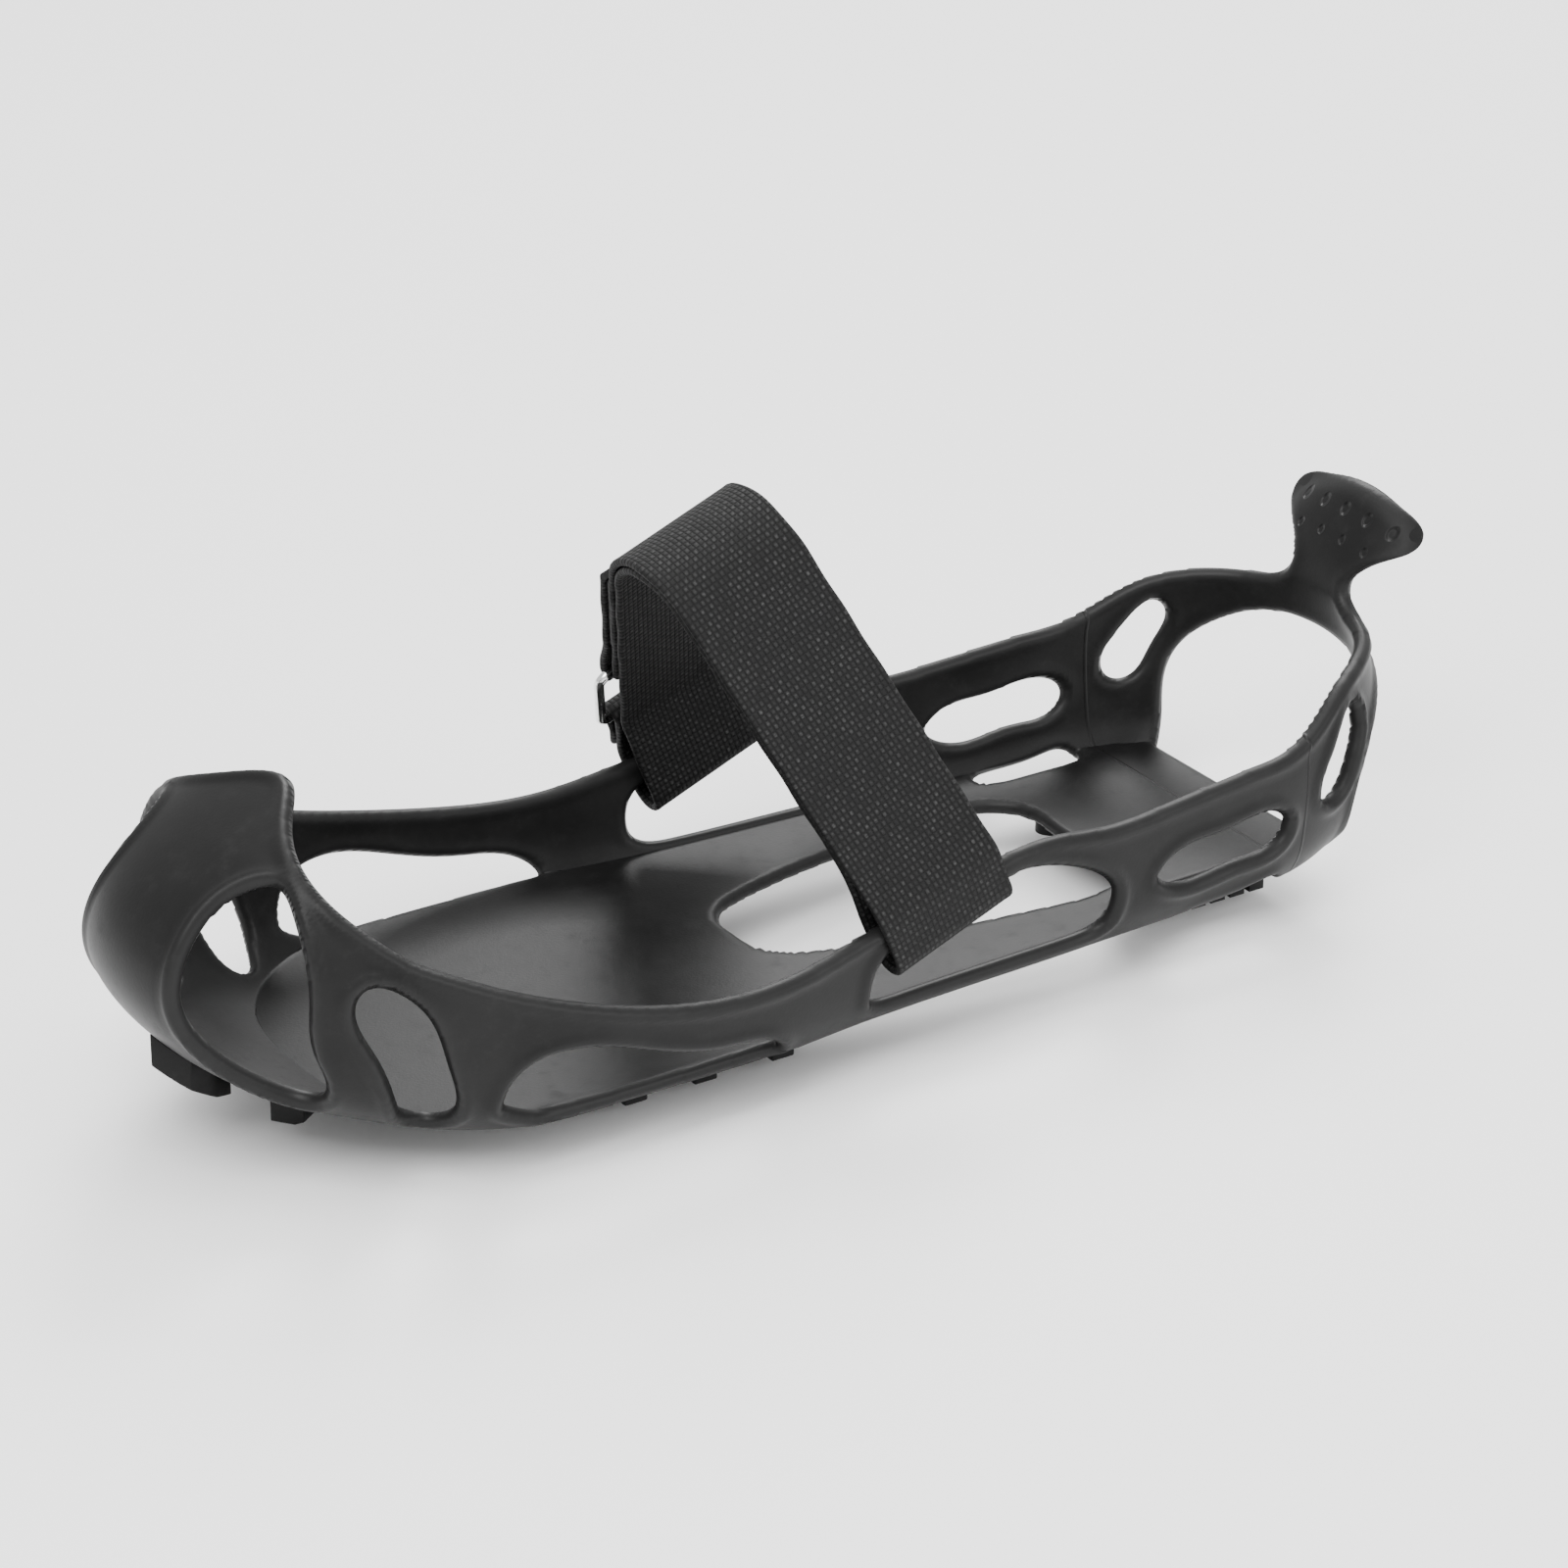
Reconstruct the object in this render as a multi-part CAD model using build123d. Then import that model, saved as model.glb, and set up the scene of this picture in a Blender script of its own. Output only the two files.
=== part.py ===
"""Stretch-on ice cleat for one shoe: rubber harness, toothed steel plates and a cinch strap.

Frame: toe towards -Y, heel towards +Y, +X the wearer's left, +Z up.  The origin lies on the
ground, level with the tips of the steel teeth, under the middle of the whole length.  Millimetres.
"""
import os
from math import atan2, cos, degrees, hypot, radians, sin, tan

from build123d import *

# ---------------------------------------------------------------- driving sizes
HALF_LENGTH = 150.0       # half the length of the shoe form the harness is moulded round
HALF_WIDTH = 54.5         # half its width at the ball of the foot
SHEET = 3.0               # thickness of the rubber everywhere
SOLE_UNDERSIDE = 11.0     # height of the underside of the rubber sole above the ground
PAD_DEPTH = 3.5           # how far the tread pads stand below the sole
PAD_CORNER = 2.5
LUG_DEPTH = 4.0           # how far the rubber lugs stand below the pads
TOE_LUG_DEPTH = 4.5       # how far the toe lugs stand out of the toe cap
TOE_LUG_SEAT = 0.05       # between the toe lugs and the curved skin they stand on

PLATE_THICKNESS = 1.5     # stamped steel tooth plates
PLATE_SKIN = 1.0          # rubber between a plate and the pad's face
PLATE_MARGIN = 2.2        # plate beyond the middles of its outer teeth
TOOTH_BASE = 7.0
TOOTH_TIP = 2.0
COLUMN_OFFSET = 12.5      # centre line to the middle of a pair of teeth
COLUMN_PITCH = 8.6        # between the two teeth of a pair
VEE_ANGLE = 24.0          # splay of the lengthwise teeth
FOREFOOT_ROWS = (-82.0, -59.7, -37.9, -20.4)
HEEL_ROWS = (99.0, 111.5)

STRAP_WIDTH = 30.0
WEBBING = 1.8             # thickness of the strap webbing
LAYER_GAP = 0.3           # between two layers of webbing
STRAP_TILT = 21.5         # degrees the strap leans back from upright
STRAP_FOOT_Y = 12.7       # middle of the strap where it turns under the side rail
STRAP_FOOT_Z = 27.3
STRAP_HEIGHT = 86.2       # from the turn to the crest, along the strap's lean
RAIL_HEIGHT = 5.2
RAIL_SLOPE = 14.0         # degrees the side rails climb towards the heel
RAIL_SIDE_CLEARANCE = 1.8
RAIL_FOOT_CLEARANCE = 3.4
RAIL_TOP_CLEARANCE = 4.5

WIRE_RADIUS = 1.1         # keeper ring wire
RING_LENGTH = 17.8        # between the middles of the ring's two long bars
RING_CLEARANCE = 0.25
RING_SIDE_CLEARANCE = 1.2
RING_CORNER = 2.2
HOOK_TAPE = 1.0
TAIL_LENGTH = 38.0        # from the ring to the strap's free end

TAB_HALF_WIDTH = 22.0
TAB_TOP = 78.5
TAB_THICKNESS = 3.2
NECK_HALF_WIDTH = 8.5
NECK_TOP = 58.0
TAB_CLEARANCE = 0.3

REACH = 400.0             # long enough to cut through everything

# ---------------------------------------------------------------- the shoe form
# Half outline of the widest level, as shares of the half width and the half length.
OUTLINE = ((0.0, -1.0), (0.46, -0.955), (0.752, -0.807), (0.927, -0.60), (1.0, -0.347),
           (0.905, -0.053), (0.853, 0.253), (0.807, 0.533), (0.706, 0.807), (0.42, 0.96), (0.0, 1.0))
WAIST = 0.53              # share of the half length that the toe and heel reaches leave alone

# Level height above the sole underside, width share, setback of the toe, setback of the heel.
LEVELS = ((0.0, 0.90, 36.0, 14.0), (5.0, 0.955, 24.0, 7.0), (13.0, 0.99, 11.0, 3.0),
          (23.0, 1.005, 2.0, 1.0), (35.0, 0.99, -1.5, 4.0), (49.0, 0.91, 7.0, 6.0),
          (61.0, 0.77, 28.0, 8.0), (73.0, 0.50, 62.0, 10.0))
FORM_HEIGHT = LEVELS[-1][0]


def along(share):
    """Distance from the middle of the sole, towards the heel, for a share of the half length."""
    return share * HALF_LENGTH


def across(share):
    """Distance from the centre line for a share of the half width."""
    return share * HALF_WIDTH


def level_outline(level, inset):
    """Closed outline of the shoe form at one level, moved in by inset all round."""
    height, width_share, toe_setback, heel_setback = level
    half = []
    for share_x, share_y in OUTLINE:
        x = across(share_x) * width_share - inset * (share_x > 0)
        y = along(share_y)
        waist = WAIST * HALF_LENGTH
        beyond = abs(y) - waist
        if beyond > 0:
            setback = (toe_setback if y < 0 else heel_setback) + inset
            stretch = (HALF_LENGTH - waist - setback) / (HALF_LENGTH - waist)
            y = (waist + beyond * stretch) * (1 if y > 0 else -1)
        half.append((x, y))
    other = [(-x, y) for x, y in reversed(half[1:-1])]
    lift = inset * (1 - 2 * height / FORM_HEIGHT)
    plane = Plane.XY.offset(SOLE_UNDERSIDE + height + lift)
    return plane * make_face(Spline(*half, *other, periodic=True))


def shoe_form(inset):
    """The solid shoe form, from the sole up, moved in by inset."""
    return loft([level_outline(level, inset) for level in LEVELS])


def side_prism(*edges):
    """A shape drawn from the side, in Y and Z, and carried across the harness."""
    return extrude(Plane.YZ * make_face(list(edges)), amount=REACH / 2, both=True)


def half_space(left):
    """Everything on the wearer's left, or on the right."""
    side = Align.MIN if left else Align.MAX
    return Box(REACH, REACH, REACH, align=(side, Align.CENTER, Align.CENTER))


def slab(y_min, y_max, z_min, z_max):
    """Everything between two distances along the shoe and two heights."""
    box = Box(REACH, y_max - y_min, z_max - z_min)
    return Pos(0, (y_min + y_max) / 2, (z_min + z_max) / 2) * box


def closed_spline(points):
    """A smooth closed curve through the points."""
    return Spline(*points, periodic=True)


FORM = shoe_form(0)
SHELL = FORM - shoe_form(SHEET)

# ---------------------------------------------------------------- how the harness is divided
TOE_SPLIT = along(-0.647)          # toe cap meets the forefoot sole
ARM_REAR = along(-0.04)            # rear edge of the forefoot side band
HEEL_WALL_FRONT = along(0.347)
FOREFOOT_REAR = along(-0.03)       # forefoot sole meets the arch strips
HEEL_FRONT = along(0.48)           # arch strips meet the heel sole
ARCH_FRONT = along(-0.06)          # front end of the arch opening
ARCH_REAR = along(0.507)           # rear end of the arch opening
HEEL_REAR = along(0.807)
SIDE_BASE = SOLE_UNDERSIDE + 5.0   # side walls stand on the sole at this height


def rim_of_toe():
    """Top edge of the toe cap and forefoot band, from over the toes back to the arm."""
    return [(along(-0.735), 79), (along(-0.757), 74.5), (along(-0.80), 71.3), (along(-0.817), 67.8),
            (along(-0.80), 61.8), (along(-0.733), 54), (along(-0.633), 46), (along(-0.467), 37),
            (along(-0.30), 31.5), (along(-0.17), 30.8), (along(-0.055), 33.8)]


def toe_opening(left):
    """Crescent opening over the big toe or the little toe, seen from the front."""
    sign = 1 if left else -1
    points = [(7, 64), (13, 68), (20, 66.3), (27, 63), (33.5, 57), (37.3, 48), (37.3, 36), (34, 24),
              (30.5, 21.5), (28.5, 29), (24.5, 40.5), (17.5, 52.5), (10.5, 61)]
    scale = HALF_WIDTH / 54.5
    face = Plane.XZ * make_face(closed_spline([(sign * x * scale, z) for x, z in points]))
    prism = extrude(face, amount=REACH / 2, both=True)
    return prism & slab(-REACH / 2, along(-0.72), 0, 100)


def small_side_opening():
    """Teardrop opening behind each toe opening, through both sides."""
    points = [(along(-0.797), 43.5), (along(-0.765), 45.5), (along(-0.727), 42), (along(-0.693), 36),
              (along(-0.675), 27), (along(-0.668), 17), (along(-0.685), 12), (along(-0.72), 12.5),
              (along(-0.757), 19), (along(-0.787), 32)]
    return side_prism(closed_spline(points))


def long_side_opening():
    """Long opening beside the ball of the foot, through both sides and the sole's rounded edge."""
    points = [(along(-0.615), 20), (along(-0.598), 26.5), (along(-0.547), 29.3), (along(-0.42), 25),
              (along(-0.30), 20), (along(-0.215), 17), (along(-0.19), 12), (along(-0.215), 6),
              (along(-0.40), 4), (along(-0.58), 6), (along(-0.612), 12)]
    middle = Box(2 * across(0.86), REACH, REACH)
    return side_prism(closed_spline(points)) - middle


def heel_slot():
    """Rounded slot in each heel wall."""
    points = [(along(0.447), 25), (along(0.475), 28.6), (along(0.56), 29.8), (along(0.655), 31),
              (along(0.69), 27.5), (along(0.68), 23), (along(0.60), 21.3), (along(0.48), 20.8)]
    return side_prism(closed_spline(points))


def heel_edge_hole(left):
    """Slot in the edge of the heel sole, seen from below."""
    sign = 1 if left else -1
    slot = Pos(sign * across(0.65), along(0.60)) * SlotOverall(along(0.19), across(0.15), rotation=90)
    return Pos(0, 0, SOLE_UNDERSIDE - 2) * extrude(slot, amount=6.5)


def arch_opening():
    """Egg-shaped opening under the arch, wider towards the heel."""
    half = [(across(0.17), along(-0.052)), (across(0.30), along(0.03)), (across(0.39), along(0.18)),
            (across(0.45), along(0.35)), (across(0.46), along(0.44)), (across(0.38), along(0.50))]
    other = [(-x, y) for x, y in reversed(half)]
    outline = Spline((0, ARCH_FRONT), *half, (0, ARCH_REAR), *other, periodic=True)
    return extrude(make_face(outline), amount=SIDE_BASE + 5)


# ---------------------------------------------------------------- harness zones
def toe_cap():
    """Front of the harness: over the toes, round the toe and under it."""
    rim = rim_of_toe()
    front = -HALF_LENGTH - 20
    profile = side_prism(Spline(*rim[:8]), Polyline(rim[7], (rim[7][0], 0), (front, 0), (front, 79), rim[0]))
    cap = SHELL & profile & slab(front, TOE_SPLIT, 0, 100)
    cap -= toe_opening(True)
    cap -= toe_opening(False)
    return cap - small_side_opening()


def forefoot_sole():
    """Flat sheet under the ball of the foot, with its rounded edges."""
    zone = SHELL & slab(TOE_SPLIT, FOREFOOT_REAR, 0, SIDE_BASE)
    zone -= small_side_opening()
    zone -= arch_opening()
    return zone - long_side_opening()


def side_band(left):
    """Band over the long side opening and the arm that comes down behind it."""
    rim = rim_of_toe()
    band = side_prism(
        Spline(*rim[6:]),
        Polyline(rim[-1], (ARM_REAR, 33.6)),
        Spline((ARM_REAR, 33.6), (ARM_REAR - 0.6, 25), (ARM_REAR - 3, SIDE_BASE)),
        Polyline((ARM_REAR - 3, SIDE_BASE), (rim[6][0] - 5, SIDE_BASE), (rim[6][0] - 5, rim[6][1]), rim[6]),
    )
    band &= slab(TOE_SPLIT, ARM_REAR, SIDE_BASE, 100)
    zone = SHELL & band & half_space(left)
    zone -= small_side_opening()
    return zone - long_side_opening()


def rail_middle(y):
    """Height of the middle of a side rail at a distance along the shoe."""
    lean = radians(STRAP_TILT)
    rise = WEBBING + RAIL_FOOT_CLEARANCE + RAIL_HEIGHT / 2
    foot_y = STRAP_FOOT_Y - rise * sin(lean)
    foot_z = STRAP_FOOT_Z + rise * cos(lean)
    return foot_z + (y - foot_y) * tan(radians(RAIL_SLOPE))


def side_rail(left):
    """Narrow rail from the arm to the heel wall, which the strap goes round."""
    straight = (ARM_REAR + 2.5, along(0.22))
    half = RAIL_HEIGHT / 2
    top = [(straight[0], rail_middle(straight[0]) + half), (straight[1], rail_middle(straight[1]) + half)]
    bottom = [(y, z - 2 * half) for y, z in top]
    end_top = [(along(0.285), 40.6), (HEEL_WALL_FRONT, 40)]
    end_bottom = [(along(0.285), 33.2), (HEEL_WALL_FRONT, 29.8)]
    profile = side_prism(
        Polyline((ARM_REAR, 33.6), top[0], top[1]),
        Spline(top[1], *end_top),
        Polyline(end_top[-1], end_bottom[-1]),
        Spline(end_bottom[-1], end_bottom[0], bottom[1]),
        Polyline(bottom[1], bottom[0], (ARM_REAR, 26), (ARM_REAR, 33.6)),
    )
    return SHELL & profile & half_space(left)


def arch_strip(left):
    """Flat strip beside the arch opening, from the forefoot to the heel."""
    zone = SHELL & slab(FOREFOOT_REAR, HEEL_FRONT, 0, SOLE_UNDERSIDE + SHEET) & half_space(left)
    return zone - arch_opening()


def heel_sole():
    """Flat sheet under the heel."""
    zone = SHELL & slab(HEEL_FRONT, HEEL_REAR, 0, SIDE_BASE)
    zone -= arch_opening()
    zone -= heel_edge_hole(True)
    return zone - heel_edge_hole(False)


HEEL_CORNER = 40.0        # degrees the heel corner faces back from sideways


def corner_prism(left, *edges):
    """A shape drawn square on to a heel corner, in distance round the corner and height."""
    turn = radians(HEEL_CORNER)
    plane = Plane(origin=(0, 0, 0), x_dir=(-sin(turn), cos(turn), 0), z_dir=(cos(turn), sin(turn), 0))
    prism = extrude(plane * make_face(list(edges)), amount=REACH / 2)
    return prism if left else mirror(prism, about=Plane.YZ)


def round_corner(share_x, share_y):
    """Distance round the heel corner for a place given as shares of the half sizes."""
    turn = radians(HEEL_CORNER)
    return -across(share_x) * sin(turn) + along(share_y) * cos(turn)


def heel_wall(left):
    """Side of the heel cup, up to the rim and back to the corner."""
    rear = along(0.72)
    wall = side_prism(
        Line((HEEL_WALL_FRONT, 40), (HEEL_WALL_FRONT, 29.8)),
        Spline((HEEL_WALL_FRONT, 29.8), (along(0.375), 26), (along(0.37), 20), (along(0.34), SIDE_BASE)),
        Polyline((along(0.34), SIDE_BASE), (rear, SIDE_BASE), (rear, 43)),
        Spline((rear, 43), (along(0.60), 42.4), (along(0.47), 40.6), (HEEL_WALL_FRONT, 40)),
    )
    zone = SHELL & wall & half_space(left)
    zone -= heel_edge_hole(left)
    return zone - heel_slot()


def rear_leg(left):
    """Forked leg from the heel corner up to the neck behind the heel."""
    start = along(0.72)
    upper = [(round_corner(0.76, 0.70), 41), (round_corner(0.74, 0.735), 46),
             (round_corner(0.66, 0.787), 51.5), (round_corner(0.50, 0.86), 55),
             (round_corner(0.30, 0.93), 56), (round_corner(0.155, 0.955), NECK_TOP)]
    end = round_corner(-0.2, 0.97)
    lower = [(end, 48), (round_corner(0.15, 0.955), 47.5), (round_corner(0.37, 0.92), 44.5),
             (round_corner(0.50, 0.90), 41), (round_corner(0.62, 0.87), 35),
             (round_corner(0.62, 0.845), 27), (round_corner(0.57, 0.84), SIDE_BASE)]
    outline = corner_prism(
        left,
        Spline(*upper),
        Polyline(upper[-1], (end, NECK_TOP), lower[0]),
        Spline(*lower),
        Polyline(lower[-1], (upper[0][0] - 20, SIDE_BASE), (upper[0][0] - 20, upper[0][1]), upper[0]),
    )
    slit = corner_prism(left, closed_spline([
        (round_corner(0.76, 0.757), 32), (round_corner(0.735, 0.765), 27.5), (round_corner(0.70, 0.80), 27.5),
        (round_corner(0.68, 0.83), 35), (round_corner(0.64, 0.85), 45), (round_corner(0.66, 0.835), 47.5),
        (round_corner(0.72, 0.79), 41)]))
    zone = SHELL & outline & half_space(left) & slab(start, HALF_LENGTH + 20, SIDE_BASE, 100)
    return zone - slit


# ---------------------------------------------------------------- treads
PAD_FACE = SOLE_UNDERSIDE - PAD_DEPTH
PLATE_BOTTOM = PAD_FACE + PLATE_SKIN


def pad(half):
    """Tread pad under the sole, from half its outline given from front to rear."""
    other = [(-x, y) for x, y in reversed(half)]
    outline = FilletPolyline(*half, *other, radius=PAD_CORNER, close=True)
    return Pos(0, 0, PAD_FACE) * extrude(make_face(outline), amount=PAD_DEPTH)


def plate_pairs():
    """Each tooth plate: its name, side, and its rows with whether their teeth run lengthwise."""
    groups = (("front_tooth_plate", FOREFOOT_ROWS[0:2], (True, False)),
              ("middle_tooth_plate", FOREFOOT_ROWS[2:4], (False, True)),
              ("heel_tooth_plate", HEEL_ROWS, (False, True)))
    for name, rows, lengthwise in groups:
        for side, sign in (("left", 1), ("right", -1)):
            yield f"{name}_{side}", sign, rows, lengthwise


def tooth(x, y, angle):
    """One triangular tooth, its flat face square to the given direction."""
    drop = PLATE_BOTTOM
    outline = Polyline((-TOOTH_BASE / 2, drop), (TOOTH_BASE / 2, drop), (TOOTH_TIP / 2, 0),
                       (-TOOTH_TIP / 2, 0), close=True)
    blade = extrude(Plane.XZ * make_face(outline), amount=PLATE_THICKNESS / 2, both=True)
    return Pos(x, y, 0) * Rot(0, 0, angle) * blade


def tooth_plate(sign, rows, lengthwise):
    """Stamped plate with two rows of two teeth bent down from it."""
    length = rows[1] - rows[0] + TOOTH_BASE + 2 * PLATE_MARGIN
    width = COLUMN_PITCH + TOOTH_BASE + PLATE_MARGIN
    blank = Box(width, length, PLATE_THICKNESS, align=(Align.CENTER, Align.CENTER, Align.MIN))
    blank = fillet(blank.edges().filter_by(Axis.Z), 3)
    plate = Pos(sign * COLUMN_OFFSET, (rows[0] + rows[1]) / 2, PLATE_BOTTOM) * blank
    for row, is_lengthwise in zip(rows, lengthwise):
        for column in (-1, 1):
            x = sign * COLUMN_OFFSET + column * COLUMN_PITCH / 2
            turn = 90 + column * VEE_ANGLE if is_lengthwise else 0
            plate += tooth(x, row, turn)
    return plate


HANGING = (Align.CENTER, Align.CENTER, Align.MAX)


def lug(x, y, width, length, depth=LUG_DEPTH):
    """Small rubber block under a pad."""
    return Pos(x, y, PAD_FACE) * Box(width, length, depth, align=HANGING)


def bump(x, y, radius, depth):
    """Small round rubber stud under a pad."""
    return Pos(x, y, PAD_FACE) * Cylinder(radius, depth, align=HANGING)


def mirrored(pieces):
    """The pieces and their mirror images."""
    return pieces + [mirror(piece, about=Plane.YZ) for piece in pieces]


FOREFOOT_PAD_FRONT = FOREFOOT_ROWS[0] - 13.0
FOREFOOT_PAD_REAR = FOREFOOT_ROWS[3] + 9.6
HEEL_PAD_FRONT = HEEL_ROWS[0] - 16.0
HEEL_PAD_REAR = HEEL_ROWS[1] + 6.5


def forefoot_pad():
    """Tread pad under the ball of the foot."""
    step = FOREFOOT_ROWS[0] + 16
    return pad([(22, FOREFOOT_PAD_FRONT), (28, FOREFOOT_PAD_FRONT + 7), (28.5, step), (34, step + 7),
                (35.5, FOREFOOT_ROWS[2]), (34, FOREFOOT_ROWS[3]), (27, FOREFOOT_PAD_REAR)])


def heel_pad():
    """Tread pad under the heel."""
    return pad([(25, HEEL_PAD_FRONT), (27.5, HEEL_PAD_FRONT + 6), (27, HEEL_ROWS[1] - 4),
                (20, HEEL_PAD_REAR)])


def forefoot_edge_lugs():
    """Rows of blocks and bars down both edges of the forefoot pad."""
    first = FOREFOOT_ROWS[0] + 1.5
    pieces = [lug(25, first + 7 * step, 4.6, 4.6) for step in range(4)]
    pieces += [lug(25, FOREFOOT_ROWS[3] - 9.3 + 6.2 * step, 4.6, 4.4) for step in range(4)]
    for y in (FOREFOOT_ROWS[1] + 4.7, FOREFOOT_ROWS[2] - 0.6, FOREFOOT_ROWS[3] + 0.4):
        pieces.append(lug(32, y, 6.6, 5.5, LUG_DEPTH + 0.5))
    return Compound(children=mirrored(pieces))


def centre_lugs():
    """Line of small blocks down the middle of the forefoot pad."""
    first = FOREFOOT_ROWS[0] - 1.5
    pitch = (FOREFOOT_ROWS[3] - 4.6 - first) / 10
    return Compound(children=[lug(0.9 * (-1) ** step, first + pitch * step, 3.2, 4.0) for step in range(11)])


def chevron(x, y):
    """Small arrow-shaped block."""
    outline = Polyline((-1.6, -2.6), (0.2, -2.6), (1.5, 0), (0.2, 2.6), (-1.6, 2.6), (-0.3, 0), close=True)
    block = extrude(make_face(outline), amount=-LUG_DEPTH * 0.7)
    return Pos(x, y, PAD_FACE) * block


def chevron_lugs():
    """Four groups of arrow-shaped blocks between the rows of teeth."""
    pieces = []
    for y in (FOREFOOT_ROWS[0] + 10.2, FOREFOOT_ROWS[3] - 7.8):
        for step in range(4):
            pieces.append(chevron(COLUMN_OFFSET + 3.5 * (step - 1.5), y))
    return Compound(children=mirrored(pieces))


def heel_lugs():
    """Blocks, corner bosses and bumps on the heel pad."""
    pieces = [lug(24.3, HEEL_ROWS[0] - 7 + 5.2 * step, 4.4, 3.8) for step in range(4)]
    pieces.append(bump(22.5, HEEL_PAD_FRONT + 4.5, 3, LUG_DEPTH))
    middle = [bump(0, y - 3, 1.8, LUG_DEPTH * 0.6) for y in HEEL_ROWS]
    return Compound(children=mirrored(pieces) + middle)


def toe_lugs():
    """Three leaf-shaped lugs under the toe, pointing away from one another."""
    skin = shoe_form(-TOE_LUG_DEPTH) - shoe_form(-TOE_LUG_SEAT)
    pieces = []
    for x, y, angle, length in ((0, -0.905, 0, 17), (7.5, -0.785, 28, 15), (-7.5, -0.785, -28, 15)):
        leaf = Polyline((0, -length / 2), (3.9, -length * 0.12), (3.3, length * 0.22), (0, length / 2),
                        (-3.3, length * 0.22), (-3.9, -length * 0.12), close=True)
        block = Pos(x, along(y), 0) * Rot(0, 0, angle) * extrude(make_face(leaf), amount=SIDE_BASE + 22)
        pieces.append(block & skin)
    return Compound(children=[piece.solids().sort_by(Axis.Z)[0] for piece in pieces])


# ---------------------------------------------------------------- pull tab
def pull_tab():
    """Flared tab above the neck, leaning back, that is gripped to stretch the heel on."""
    rear = along(0.965)
    foot = NECK_TOP + TAB_CLEARANCE
    inner = Spline((rear - 3.4, foot), (rear - 1.5, 65), (rear + 3.5, 72), (rear + 10.5, TAB_TOP - 1.5))
    outer = Spline((rear + 10.5 + TAB_THICKNESS * 0.8, TAB_TOP - 3.2), (rear + 5, 68.5), (rear + 1.2, 63.5),
                   (rear - 3.4 + TAB_THICKNESS, foot))
    section = side_prism(inner, Line(inner @ 1, outer @ 0), outer, Line(outer @ 1, inner @ 0))
    half = [(NECK_HALF_WIDTH, foot - 1), (NECK_HALF_WIDTH + 1, 62.5), (NECK_HALF_WIDTH + 6, 67),
            (TAB_HALF_WIDTH, 70.5), (TAB_HALF_WIDTH - 1, 73), (10, TAB_TOP - 1.2)]
    other = [(-x, z) for x, z in reversed(half)]
    edges = [Spline(*half[:4]), Spline(half[3], *half[4:], (0, TAB_TOP), *other[:2], other[2]),
             Spline(*other[2:]), Line(other[-1], half[0])]
    front = Plane.XZ * make_face(edges)
    return section & extrude(front, amount=REACH / 2, both=True)


# ---------------------------------------------------------------- cinch strap
STRAP_PLANE = Plane(origin=(0, STRAP_FOOT_Y, STRAP_FOOT_Z), x_dir=(1, 0, 0),
                    z_dir=(0, -cos(radians(STRAP_TILT)), -sin(radians(STRAP_TILT))))


def webbing(route, radii, width=STRAP_WIDTH, thickness=WEBBING):
    """Flat webbing whose middle follows a route drawn in the plane of the strap."""
    path = FilletPolyline(*route, radius=radii)
    section = trace(path, thickness)
    return extrude(STRAP_PLANE * section, amount=width / 2, both=True)


def rail_half_width():
    """Outer half width of the side rails under the strap."""
    return across(0.877)


LOOP_RADIUS = (SHEET + 2 * RAIL_SIDE_CLEARANCE + WEBBING) / 2
TURN_OUT = rail_half_width() + RAIL_SIDE_CLEARANCE + WEBBING / 2
TURN_IN = TURN_OUT - 2 * LOOP_RADIUS
RAIL_CLEAR = WEBBING + RAIL_FOOT_CLEARANCE + RAIL_HEIGHT + RAIL_TOP_CLEARANCE
CREST = STRAP_HEIGHT - WEBBING / 2
CREST_RADIUS = 17.5
LAYER = WEBBING + LAYER_GAP


def flank_angle():
    """Lean of the straight flanks, which touch the round crest and clear the rails."""
    angle = radians(30)
    for _ in range(50):
        apex = CREST - CREST_RADIUS + CREST_RADIUS / sin(angle)
        angle = atan2(TURN_OUT, apex - RAIL_CLEAR)
    return angle


FLANK_ANGLE = flank_angle()
APEX = RAIL_CLEAR + TURN_OUT / tan(FLANK_ANGLE)     # where the two flanks would meet
INNER_APEX = APEX - LAYER / sin(FLANK_ANGLE)


def on_flank(up, out):
    """A point beside the ring-side flank: distance up from the rail and out from the webbing."""
    rise, run = cos(FLANK_ANGLE), sin(FLANK_ANGLE)
    return (-TURN_OUT + up * run - out * rise, RAIL_CLEAR + up * rise + out * run)


BAR_OUT = WEBBING / 2 + RING_CLEARANCE + WIRE_RADIUS
LOWER_BAR = 11.5          # up the flank from the rail to the ring's lower bar
UPPER_BAR = LOWER_BAR + RING_LENGTH


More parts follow.
